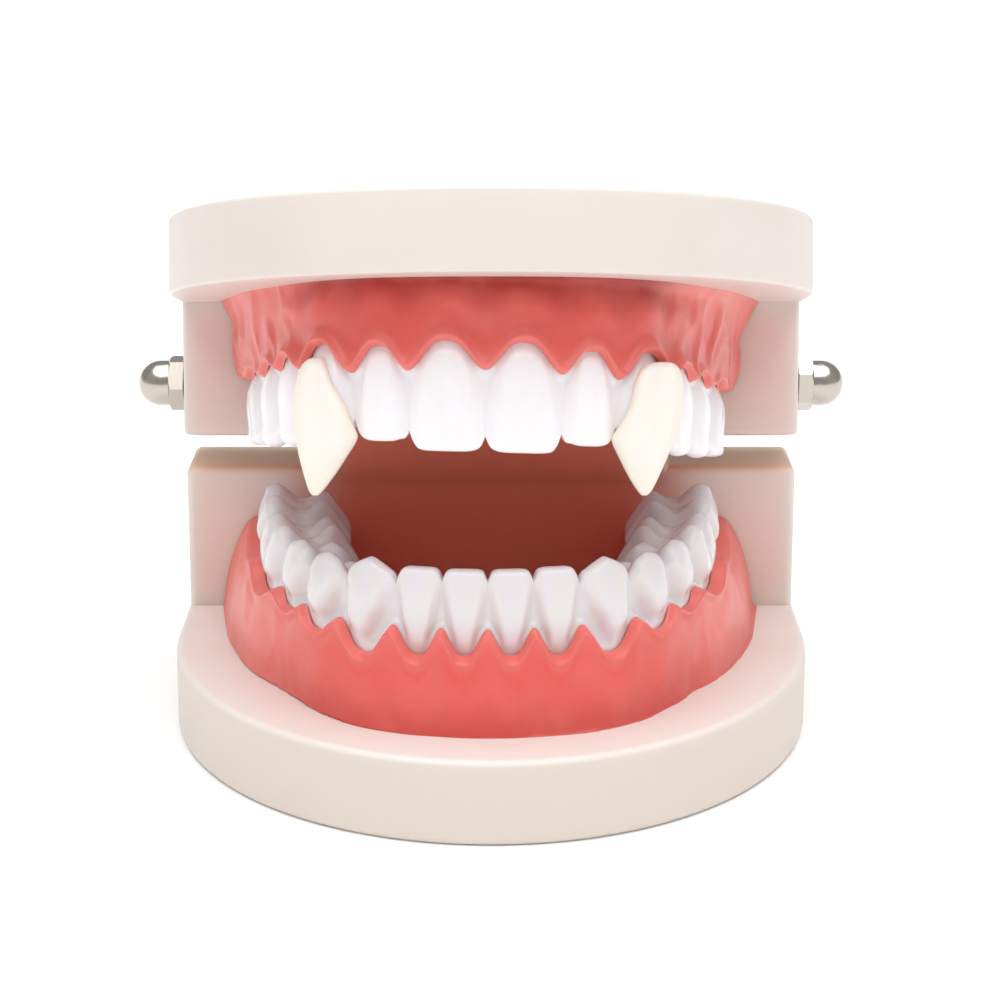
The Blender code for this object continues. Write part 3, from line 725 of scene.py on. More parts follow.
@dataclass(frozen=True)
class AcrylicTeeth(Finish):
    """White acrylic, cast and polished: glossy, cool white, with faint upright streaks where the
    resin layers show. The UV holds the run along the arch and the height, in metres."""

    streak: str = "#EDE6DA"
    streak_mm: float = 1.4
    streak_share: float = 0.35
    streak_squeeze: float = 0.09
    ripple_mm: float = 0.8
    ripple_deep_mm: float = 0.02
    coat: float = 0.25
    coat_rough: float = 0.12

    def dress(self, tree: bpy.types.NodeTree, shader: bpy.types.Node, spot: bpy.types.NodeSocket) -> None:
        """Add the streaks, the ripple and the clear polish.

        Args:
            tree: the material's node tree.
            shader: its Principled shader.
            spot: the place on the piece.
        """
        strip = add(tree, "ShaderNodeUVMap", {"uv_map": "strip"})
        scale = 1000.0 / self.streak_mm
        squeezed = {"Scale": (scale, scale * self.streak_squeeze, 1.0)}
        stretch = add(tree, "ShaderNodeMapping", squeezed, {"Vector": strip})
        bands = add(tree, "ShaderNodeTexNoise", {"Scale": 1.0, "Detail": 3.0}, {"Vector": stretch})
        share = add(tree, "ShaderNodeMapRange", {1: 0.42, 2: 0.78, 4: self.streak_share}, {0: bands})
        pair = {6: linear(self.base), 7: linear(self.streak)}
        tint = add(tree, "ShaderNodeMix", COLOURS | pair, {0: share})
        ripple = self.relief(spot, self.ripple_mm, self.ripple_deep_mm, 0.25)
        polish = {"Coat Weight": self.coat, "Coat Roughness": self.coat_rough}
        within = self.inside(0.35, (1.0, 0.9, 0.85), 1.2)
        feed(shader, within | polish, {"Base Color": tint, "Normal": ripple})


@dataclass(frozen=True)
class FangResin(Finish):
    """Ivory resin, cast thin: half gloss, a little see-through, deeper cream towards the tip, with painted
    shade in deeper cream towards the sides where the cap rounds away. The UV holds the share of the way
    to the side and up from the tip."""

    # Deeper cream for the tip, and for the painted shade towards the sides
    edge: str = "#F3E8D3"
    ripple_mm: float = 1.4
    ripple_deep_mm: float = 0.03

    def dress(self, tree: bpy.types.NodeTree, shader: bpy.types.Node, spot: bpy.types.NodeSocket) -> None:
        """Add the deeper cream towards the tip, the painted shade towards the sides, and the ripple.

        Args:
            tree: the material's node tree.
            shader: its Principled shader.
            spot: the place on the piece.
        """
        strip = add(tree, "ShaderNodeUVMap", {"uv_map": "strip"})
        across, up = add(tree, "ShaderNodeSeparateXYZ", None, {0: strip}).outputs[:2]
        low = add(tree, "ShaderNodeMapRange", {1: 0.0, 2: 0.3, 3: 0.5, 4: 0.0}, {0: up})
        # Painted shade: deeper cream towards the sides, where the cap turns away
        sides = add(tree, "ShaderNodeMapRange", {1: 0.6, 2: 1.0, 3: 0.0, 4: 0.6}, {0: across})
        both = add(tree, "ShaderNodeMath", LARGER, {0: low, 1: sides})
        tint = add(tree, "ShaderNodeMix", COLOURS | {6: linear(self.base), 7: linear(self.edge)}, {0: both})
        ripple = self.relief(spot, self.ripple_mm, self.ripple_deep_mm, 0.3)
        feed(shader, self.inside(0.3, (1.0, 0.8, 0.5), 1.0), {"Base Color": tint, "Normal": ripple})


@dataclass(frozen=True)
class PolishedNickel(Finish):
    """Nickel plate over turned steel: bright, with fine turning marks drawn a little coarse to show."""

    mark_mm: float = 0.12
    mark_deep_mm: float = 0.01
    mark_squeeze: float = 0.1

    def dress(self, tree: bpy.types.NodeTree, shader: bpy.types.Node, spot: bpy.types.NodeSocket) -> None:
        """Add the turning marks to the polish and the relief.

        Args:
            tree: the material's node tree.
            shader: its Principled shader.
            spot: the place on the piece.
        """
        scale = 1000.0 / self.mark_mm
        around = scale * self.mark_squeeze
        stretch = add(tree, "ShaderNodeMapping", {"Scale": (scale, around, around)}, {"Vector": spot})
        marks = add(tree, "ShaderNodeTexNoise", {"Scale": 1.0, "Detail": 2.0}, {"Vector": stretch})
        rough = {1: 0.3, 2: 0.7, 3: self.roughness - 0.04, 4: self.roughness + 0.08}
        polish = add(tree, "ShaderNodeMapRange", rough, {0: marks})
        shallow = {"Strength": 0.15, "Distance": self.mark_deep_mm * MM}
        bump = add(tree, "ShaderNodeBump", shallow, {"Height": marks})
        feed(shader, {"Metallic": 1.0}, {"Roughness": polish, "Normal": bump})


# Plates and hinge block

Corner = tuple[float, float, float]


def filleted(corners: Sequence[Corner], steps: int = 6) -> np.ndarray:
    """Round the corners of a closed outline.

    Args:
        corners: across, up and corner radius of each corner, in order.
        steps: how many edges each rounding gets.

    Returns:
        Points of the outline, shaped points, 2.
    """
    out = []
    count = len(corners)
    for k, (x, y, radius) in enumerate(corners):
        here = np.array([x, y])
        back = np.array(corners[k - 1][:2]) - here
        ahead = np.array(corners[(k + 1) % count][:2]) - here
        back, ahead = back / np.linalg.norm(back), ahead / np.linalg.norm(ahead)
        half = math.acos(float(np.clip(back @ ahead, -1.0, 1.0))) / 2.0
        reach = radius / math.tan(half)
        middle = back + ahead
        middle = middle / np.linalg.norm(middle)
        centre = here + middle * radius / math.sin(half)
        start, end = here + back * reach - centre, here + ahead * reach - centre
        sweep = math.pi - 2.0 * half
        for step in range(steps + 1):
            t = step / steps
            mixed = (start * math.sin((1.0 - t) * sweep) + end * math.sin(t * sweep)) / math.sin(sweep)
            out.append(centre + mixed)
    return np.array(out)


def softened(outline: np.ndarray, low: float, high: float, radius: float, steps: int = 5) -> np.ndarray:
    """Rings of a prism with rounded rims.

    Args:
        outline: closed outline, shaped points, 2, with corners rounder than the rims.
        low: where the prism starts along its axis.
        high: where it ends.
        radius: how much both rims are rounded.
        steps: how many edges each rounding gets.

    Returns:
        Outline and axis values, shaped rings, points, 3.
    """
    ahead = np.roll(outline, -1, axis=0) - np.roll(outline, 1, axis=0)
    ahead = ahead / np.linalg.norm(ahead, axis=1)[:, None]
    turn = np.sum(outline[:, 0] * np.roll(outline[:, 1], -1) - outline[:, 1] * np.roll(outline[:, 0], -1))
    inward = np.stack([-ahead[:, 1], ahead[:, 0]], axis=1) * (1.0 if turn > 0.0 else -1.0)
    shape = [(radius * 1.06, 0.0)]
    for step in range(steps + 1):
        angle = math.pi / 2.0 * step / steps
        shape.append((radius * (1.0 - math.sin(angle)), radius * (1.0 - math.cos(angle))))
    rings = []
    for inset, rise in shape:
        rings.append(np.column_stack([outline + inward * inset, np.full(len(outline), low + rise)]))
    for inset, rise in reversed(shape):
        rings.append(np.column_stack([outline + inward * inset, np.full(len(outline), high - rise)]))
    return np.array(rings)


def plate_outline(steps: int = 120) -> np.ndarray:
    """Outline of a D-shaped plate: straight sides and a curved nose.

    Args:
        steps: how many edges the nose gets.

    Returns:
        Side and depth of each point, shaped points, 2.
    """
    half = PLATE_WIDTH / 2.0
    corner = EDGE_ROUND * 1.15
    out = []
    for k in range(steps + 1):
        angle = math.pi * (1.0 - k / steps)
        out.append((half * math.cos(angle), NOSE_LENGTH * (1.0 - math.sin(angle))))
    for centre, start in ((half - corner, 0.0), (corner - half, math.pi / 2.0)):
        for k in range(9):
            angle = start + math.pi / 2.0 * k / 8.0
            out.append((centre + corner * math.cos(angle), PLATE_LENGTH - corner + corner * math.sin(angle)))
    return np.array(out)


def block_corners(front: float, back: float, foot: float, head: float, soft: float) -> list[Corner]:
    """Depth, height and radius of the corners of a block seen from the side."""
    return [(front, foot, soft), (back, foot, soft), (back, head, soft), (front, head, soft)]


@dataclass
class JawPlates:
    """The two plates: the lower with its hinge block and tongue, the upper with its ears."""

    finish: MouldedPlate
    sink: float = 2.0
    flush: float = 0.01

    def flat(self, low: float, high: float, soft: float) -> np.ndarray:
        """Rings of a plate between two heights, its rims rounded."""
        rings = softened(plate_outline(), low, high, soft)
        return world(rings[..., 0], rings[..., 1], rings[..., 2])

    def crosswise(self, corners: Sequence[Corner], low: float, high: float, soft: float) -> np.ndarray:
        """Rings of a shape that runs from side to side.

        Args:
            corners: depth, height and radius of the profile's corners.
            low: where it starts sideways.
            high: where it ends sideways.
            soft: how much its ends are rounded.

        Returns:
            Rings of scene points.
        """
        rings = softened(filleted(corners), low, high, soft)
        return world(rings[..., 2], rings[..., 0], rings[..., 1])

    def lower(self, material: bpy.types.Material) -> bpy.types.Object:
        """Build the lower plate, its hinge block and the tongue.

        Args:
            material: the plates' finish.

        Returns:
            The lower plate's piece.
        """
        shell = Shell()
        shell.loft(self.flat(0.0, LOWER_THICK, EDGE_ROUND))
        back, top = PLATE_LENGTH - BLOCK_INSET, LOWER_THICK + BLOCK_HEIGHT
        head = PIN_HEIGHT + TONGUE_ABOVE_PIN
        block = (BLOCK_FRONT, back, LOWER_THICK - self.sink, top)
        tongue = (BLOCK_FRONT - self.flush, back - BLOCK_INSET, top - self.sink * 1.5, head)
        for box, inset in ((block, BLOCK_INSET), (tongue, EAR_WIDTH + EAR_SIDE_GAP)):
            half = PLATE_WIDTH / 2.0 - inset
            shell.loft(self.crosswise(block_corners(*box, EDGE_ROUND * 1.1), -half, half, EDGE_ROUND))
        return shell.piece("lower_plate_moulding", material)

    def upper(self, material: bpy.types.Material) -> bpy.types.Object:
        """Build the upper plate and its two ears, swung open.

        Args:
            material: the plates' finish.

        Returns:
            The upper plate's piece.
        """
        shell = Shell()
        shell.loft(opened(self.flat(ROOF_HEIGHT, ROOF_HEIGHT + UPPER_THICK, EDGE_ROUND * 0.55)))
        front, back = PIN_DEPTH - EAR_BEFORE_PIN, PLATE_LENGTH - BLOCK_INSET
        foot, head = PIN_HEIGHT - EAR_BELOW_PIN, ROOF_HEIGHT + self.sink
        corners = block_corners(front, back, foot, head, EDGE_ROUND * 0.8)
        corners[1] = (back, foot, EAR_CORNER)
        inner, outer = PLATE_WIDTH / 2.0 - EAR_WIDTH, PLATE_WIDTH / 2.0 - BLOCK_INSET
        for side in Side:
            rings = self.crosswise(corners, inner, outer, EDGE_ROUND * 0.7)
            drop = np.clip((ROOF_HEIGHT * MM - rings[..., 2]) / ((ROOF_HEIGHT - foot) * MM), 0.0, 1.0)
            rings[..., 0] -= EAR_DRAFT * MM * drop * (rings[..., 0] > (inner + outer) / 2.0 * MM)
            rings[..., 0] *= side.value
            shell.loft(opened(rings))
        return shell.piece("upper_plate_moulding", material)

    def build(self) -> None:
        """Build both plates and set them on their bodies."""
        material = self.finish.material()
        place(self.lower(material), Body.LOWER, "lower_base")
        place(self.upper(material), Body.UPPER, "upper_base")


# Arches, teeth and gums


class Place(NamedTuple):
    """A place along an arch: its run, its tooth, and where in the tooth it is, from -1 at the side
    nearest the midline to 1."""

    run: float
    tooth: Tooth
    u: float


@dataclass
class Arch:
    """One dental arch: the line through its biting edges and the teeth that stand on it."""

    line: Sequence[tuple[float, float]]
    teeth: Sequence[Tooth]
    forms: Sequence[Form]
    feet: Sequence[Foot]
    flank: Flank
    side_inset: float
    front: float
    gum_end: float
    tail: float
    height: float
    foot: float
    shift: float
    roll: float
    upper: bool
    neck_power: float
    groove: float = 2.4
    fineness: int = 48
    smoothing: int = 10

    def __post_init__(self) -> None:
        """Lay the line out and turn the tables' shares into lengths."""
        half = PLATE_WIDTH / 2.0 - self.side_inset
        right = [(side * half, self.front + depth * (self.gum_end - self.front)) for side, depth in self.line]
        nodes = np.array([(-x, y) for x, y in reversed(right[1:])] + right)
        nodes = np.concatenate([[nodes[0] * 2 - nodes[1]], nodes, [nodes[-1] * 2 - nodes[-2]]])
        curve = []
        for k in range(1, len(nodes) - 2):
            before, start, end, after = nodes[k - 1 : k + 3]
            for t in np.arange(self.fineness) / self.fineness:
                bend = (end - before) * t + (before * 2 - start * 5 + end * 4 - after) * t * t
                curve.append(start + 0.5 * (bend + (start * 3 - before - end * 3 + after) * t**3))
        curve.append(nodes[-2])
        self.curve = np.array(curve)
        steps = np.linalg.norm(np.diff(self.curve, axis=0), axis=1)
        self.reach = np.concatenate([[0.0], np.cumsum(steps)])
        self.reach -= self.reach[-1] / 2.0
        ahead = np.zeros_like(self.curve)
        for k in range(len(self.curve)):
            end = min(k + self.smoothing, len(self.curve) - 1)
            ahead[k] = self.curve[end] - self.curve[max(k - self.smoothing, 0)]
        ahead /= np.linalg.norm(ahead, axis=1)[:, None]
        self.outward = np.stack([ahead[:, 1], -ahead[:, 0]], axis=1)
        self.length = self.run_at(self.gum_end - self.tail)
        self.end = self.run_at(self.gum_end)
        self.rows = [self.sized(tooth) for tooth in self.teeth]
        self.starts = np.concatenate([[0.0], np.cumsum([tooth.width for tooth in self.rows])])
        papillae = np.array([tooth.papilla for tooth in self.rows])
        self.papillae = np.concatenate([papillae[:1], (papillae[1:] + papillae[:-1]) / 2.0, papillae[-1:]])
        self.centres = np.append((self.starts[:-1] + self.starts[1:]) / 2.0, self.end)
        self.foot_reach = [(foot.out * self.foot, foot.inside * self.foot) for foot in self.feet]

    def sized(self, tooth: Tooth) -> Tooth:
        """Turn a tooth's shares into lengths.

        Args:
            tooth: the tooth's row of the table.

        Returns:
            The tooth in millimetres.
        """
        high = [value * self.height for value in tooth[1:9]]
        thick = [value * MOLAR_THICK for value in tooth[9:]]
        return Tooth(tooth.width * self.length, *high, *thick)

    def run_at(self, depth: float) -> float:
        """Run from the midline at which the line reaches a depth."""
        middle = len(self.curve) // 2
        return float(np.interp(depth, self.curve[middle:, 1], self.reach[middle:]))

    def mixed(self, run: float, rows: Sequence[Sequence[float]]) -> np.ndarray:
        """Blend a table with a row for each tooth and one for the end, at a run along the arch."""
        table = np.array(rows, dtype=float)
        return np.array([np.interp(abs(run), self.centres, column) for column in table.T])

    def at(self, run: float) -> list[np.ndarray]:
        """The line's point at a run and the way outward there, both as side and depth."""
        tables = (self.curve, self.outward)
        return [np.array([np.interp(run, self.reach, table[:, k]) for k in range(2)]) for table in tables]

    def root(self, run: float) -> np.ndarray:
        """Shape of the strip's root at a run.

        Args:
            run: distance from the midline along the line.

        Returns:
            Its outward offset, its inward offset, its foot height, and how far the web between two
            teeth sits back there.
        """
        rows = []
        for tooth, form in zip(self.rows, self.forms):
            rows.append((tooth.neck, tooth.in_neck, tooth.zenith - self.groove, form.recess))
        neck, in_neck, floor, recess = self.mixed(run, rows + rows[-1:])
        beside = float(np.abs(self.starts[1:] - abs(run)).min())
        dip = 0.45 * recess * float(bell(beside, 1.3))
        return np.array([neck - dip, in_neck, floor, dip])

    def points(self, run: float, out: np.ndarray, height: np.ndarray, tilt: Any = 1.0) -> np.ndarray:
        """Scene points at a run along the arch.

        Args:
            run: distance from the midline along the line.
            out: offsets outward of the line.
            height: heights off the plate.
            tilt: share of the arch's roll and shift that each point takes.

        Returns:
            Points in metres, swung open for the upper arch.
        """
        spot, away = self.at(run)
        size = math.hypot(*away)
        side, depth = (spot[k] + out * away[k] / size for k in range(2))
        rise = height + self.roll * side * tilt
        side = side + self.shift * tilt
        if self.upper:
            return opened(world(side, depth, ROOF_HEIGHT - rise))
        return world(side, depth, LOWER_THICK + rise)

    def gum_line(self, tooth: Tooth, u: float) -> float:
        """Height of the gum's edge round a tooth's neck.

        Args:
            tooth: the tooth, in millimetres.
            u: place in the tooth from -1 at the side near the midline to 1.

        Returns:
            The height in millimetres.
        """
        rise = (0.5 - 0.5 * math.cos(math.pi * u)) ** self.neck_power
        papilla = self.papillae[self.rows.index(tooth) + (u > 0.0)]
        return tooth.zenith + (papilla - tooth.zenith) * rise

    def stations(self, steps: int) -> list[Place]:
        """Places along the arch, closer together where two teeth meet.

        Args:
            steps: how many stations each tooth gets.

        Returns:
            Places from the left end of the row to the right end.
        """
        half = []
        for k, tooth in enumerate(self.rows):
            for step in range(steps):
                u = math.sin(math.pi / 2.0 * (2.0 * step / steps - 1.0))
                half.append(Place(self.starts[k] + (u + 1.0) / 2.0 * tooth.width, tooth, u))
        half.append(Place(self.length, self.rows[-1], 1.0))
        return [Place(-spot.run, spot.tooth, spot.u) for spot in reversed(half[1:])] + half


def bell(value: Any, width: float) -> Any:
    """A smooth bump of height one that fades over a width."""
    return np.exp(-((np.asarray(value) / width) ** 2))


def ease(value: float, low: float, high: float) -> float:
    """Go smoothly from nought at a low value to one at a high value."""
    t = min(max((value - low) / (high - low), 0.0), 1.0)
    return t * t * (3.0 - 2.0 * t)


# Control points of a crown's outer face: share of the way up it and share of the belly there
FACE_LEVELS = ((0.12, 0.66), (0.3, 0.95), (0.48, 1.0), (0.64, 0.88), (0.8, 0.66))


def is_molar(tooth: Tooth) -> bool:
    """Whether a tooth, in millimetres, is a back tooth, hollowed between its cusps."""
    return tooth.fossa > 0.3


@dataclass
class ToothStrip:
    """The one-piece strip of teeth, with a cut line at each contact and cusps on the back teeth."""

    arch: Arch
    name: str
    node: str
    body: Body
    finish: AcrylicTeeth
    seam_deep: float = 0.12
    seam_wide: float = 0.3
    neck_lift: float = 0.15
    crown_round: float = 0.3
    lingual_drop: float = 1.2
    merge: float = 1.2
    end_round: float = 1.3
    end_steps: int = 9
    steps: int = 36
    counts: tuple[int, ...] = (4, 4, 4, 4, 4, 4, 4, 5, 5, 6, 6, 5)

    def form(self, tooth: Tooth) -> Form:
        """How a tooth's face is modelled."""
        return self.arch.forms[self.arch.rows.index(tooth)]

    def biting(self, tooth: Tooth, u: float) -> float:
        """How far the biting edge drops below the tooth's top.

        Args:
            tooth: the tooth, in millimetres.
            u: place in the tooth from -1 at the side near the midline to 1.

        Returns:
            The drop in millimetres.
        """
        a = abs(u)
        ridge = tooth.tip * (math.sqrt(u * u + 0.006) - 0.077)
        dip = tooth.valley * (0.7 + 0.7 * math.cos(math.tau * u)) if a < 0.5 else 0.0
        back = float(is_molar(tooth))
        notch = (0.45 + 0.3 * back) * float(bell((1.0 - a) * tooth.width / 2.0, 0.3 + 0.5 * back))
        if tooth is self.arch.rows[-1] and u > 0.0:
            notch = 0.0
        corner = ease(a, 0.5, 1.0) if back else a ** self.form(tooth).squareness
        return ridge + dip + tooth.corner * corner + notch

    def inner_drop(self, tooth: Tooth, u: float) -> float:
        """How far the inner cusps drop below their top.

        Args:
            tooth: the tooth, in millimetres.
            u: place in the tooth from -1 at the side near the midline to 1.

        Returns:
            The drop in millimetres.
        """
        a = abs(u)
        if not is_molar(tooth):
            return self.biting(tooth, u)
        dip = tooth.valley * (0.8 + 0.8 * math.cos(math.tau * u)) if a < 0.5 else 0.0
        return dip + tooth.tip * 0.8 * a * a + (tooth.corner * 1.5 + 0.4) * ease(a, 0.35, 1.0)

    def control(
        self, tooth: Tooth, u: float, root: np.ndarray, grow: float = 0.0
    ) -> list[tuple[float, float]]:
        """Control points of the crown's section, from the outer neck over the edge to the inner.

        Args:
            tooth: the tooth, in millimetres.
            u: place in the tooth from -1 at the side near the midline to 1.
            root: the root's offsets there.
            grow: how much larger than the tooth the section is drawn.

        Returns:
            Outward offset and height of each control point.
        """
        neck, in_neck = root[:2]
        form = self.form(tooth)
        a = abs(u)
        edge = self.arch.gum_line(tooth, u)
        in_edge = edge - self.lingual_drop
        top, in_top = tooth.top - self.biting(tooth, u), tooth.in_top - self.inner_drop(tooth, u)
        back, groove = is_molar(tooth), 0.0
        seam_wide = self.seam_wide * (1.0 + 1.5 * back)
        seam = self.seam_deep * float(bell((1.0 - a) * tooth.width / 2.0, seam_wide))
        floor = top - tooth.fossa * 1.25
        if back:
            cross = 0.45 * float(bell(u * tooth.width / 2.0, 0.6)) * (tooth.valley > 0.1)
            groove = cross * 0.9
            top -= cross * 0.6
            in_top -= cross * 0.6
            floor = tooth.top - tooth.fossa * (1.55 - 0.55 * ease(a, 0.5, 1.0)) - cross * 0.3
            floor = min(floor, min(top, in_top) - 0.2)
        rise, in_rise = top - edge, in_top - in_edge

        def face(height: float, share: float) -> float:
            """Outward offset of the face.

            Args:
                height: height off the plate.
                share: how much of the belly stands out there.

            Returns:
                The offset in millimetres.
            """
            v = min(max((height - tooth.zenith) / (tooth.top - tooth.zenith), 0.0), 1.0)
            spread = ease(v, 0.0, 0.72)
            x = abs(u - form.skew * (1.0 - spread)) / (form.taper + (1.0 - form.taper) * spread)
            full = 1.0 - ease(x, form.flat, 1.0)
            crest = tooth.belly * (share + form.fullness * (1.0 - share) * v) - groove * ease(v, 0.35, 0.8)
            web = min(neck, crest) - form.recess * (1.0 - ease(v, 0.5, 0.85)) - 0.1
            return web + (crest - web) * full - seam * ease(v, 0.4, 0.9) + grow

        outer = [(neck + grow, edge + self.neck_lift)]
        for v, share in FACE_LEVELS:
            outer.append((face(edge + rise * v, share), edge + rise * v))
        outer.append((face(top - self.crown_round, 0.36), top - self.crown_round + grow * 0.5))
        full = 1.0 - ease(a, 0.4, 1.0)
        in_neck_web = in_neck - 0.3
        in_belly = in_neck_web + (tooth.in_belly - in_neck_web) * full
        crest = tooth.edge * (0.86 + 0.14 * full) if back else tooth.edge
        shoulder = crest + (in_belly - crest) * 0.62
        return outer + [
            (-self.neck_lift, top + grow),
            (-crest * 0.5, floor + grow),
            (-crest, in_top + grow),
            (-shoulder - grow, in_edge + in_rise * 0.7),
            (-in_belly - grow + seam, in_edge + in_rise * 0.36),
            (-in_neck - grow, in_edge + self.neck_lift),
        ]

    def blended(self, place: Place, root: np.ndarray, grow: float) -> np.ndarray:
        """Control points at a place, flowing into the neighbour's near a contact.

        Args:
            place: the place along the arch.
            root: the root's offsets there.
            grow: how much larger than the tooth the section is drawn.

        Returns:
            Outward offset and height of each control point.
        """
        rows, starts = self.arch.rows, self.arch.starts
        points = np.array(self.control(place.tooth, place.u, root, grow))
        k = rows.index(place.tooth)
        before, after = abs(place.run) - starts[k], starts[k + 1] - abs(place.run)
        for other, gap, side in ((k - 1, before, 1.0), (k + 1, after, -1.0)):
            if gap < self.merge and 0 <= other < len(rows):
                u = side * (1.0 - 2.0 * gap / rows[other].width)
                share = 0.5 - 0.5 * ease(gap, 0.0, self.merge)
                points += (np.array(self.control(rows[other], u, root, grow)) - points) * share
        return points

    def rings(self, places: Sequence[Place], grow: float = 0.0) -> tuple[np.ndarray, np.ndarray]:
        """Rings of the strip at some places.

        Args:
            places: the places along the arch.
            grow: how much larger than the teeth the rings are drawn.

        Returns:
            Scene points and UV pairs of the rings.
        """
        tops, feet = [], []
        for place in places:
            root = self.arch.root(place.run)
            tops.append(self.blended(place, root, grow))
            feet.append([(root[0] + grow, root[2] - grow), (-root[1] - grow, root[2] - grow)])
        crowns = spline(np.array(tops), self.counts)
        roots = np.array(feet)
        sections = np.concatenate([roots[:, :1], crowns, roots[:, 1:]], axis=1)
        rings, pairs = [], []
        for place, section in zip(places, sections):
            rings.append(self.arch.points(place.run, section[:, 0], section[:, 1]))
            pairs.append(np.column_stack([np.full(len(section), place.run), section[:, 1]]) * MM)
        return np.array(rings), np.array(pairs)

    def rounded_ends(self, rings: np.ndarray, pairs: np.ndarray) -> tuple[np.ndarray, np.ndarray]:
        """Close both ends of the strip with a rounded face instead of a flat cut.

        Args:
            rings: scene points of the strip's rings.
            pairs: their UV pairs.

        Returns:
            Rings and pairs with the ends' own added.
        """
        for end, beside in ((0, 1), (-1, -2)):
            middle = rings[end].mean(axis=0)
            away = rings[end].mean(axis=0) - rings[beside].mean(axis=0)
            away /= np.linalg.norm(away)
            caps, marks = [], []
            for step in range(1, self.end_steps + 1):
                angle = math.pi / 2.0 * step / self.end_steps
                ring = middle + (rings[end] - middle) * (0.4 + 0.6 * math.cos(angle))
                caps.append(ring + away * self.end_round * MM * math.sin(angle))
                marks.append(pairs[end])
            if end == 0:
                rings, pairs = np.concatenate([caps[::-1], rings]), np.concatenate([marks, pairs])
            else:
                rings, pairs = np.concatenate([rings, caps]), np.concatenate([pairs, marks])
        return rings, pairs

    def build(self) -> bpy.types.Object:
        """Build the strip and set it on its body."""
        rings, pairs = self.rounded_ends(*self.rings(self.arch.stations(self.steps)))
        shell = Shell()
        shell.loft(rings, pairs)
        return place(shell.piece(self.name, self.finish.material()), self.body, self.node)


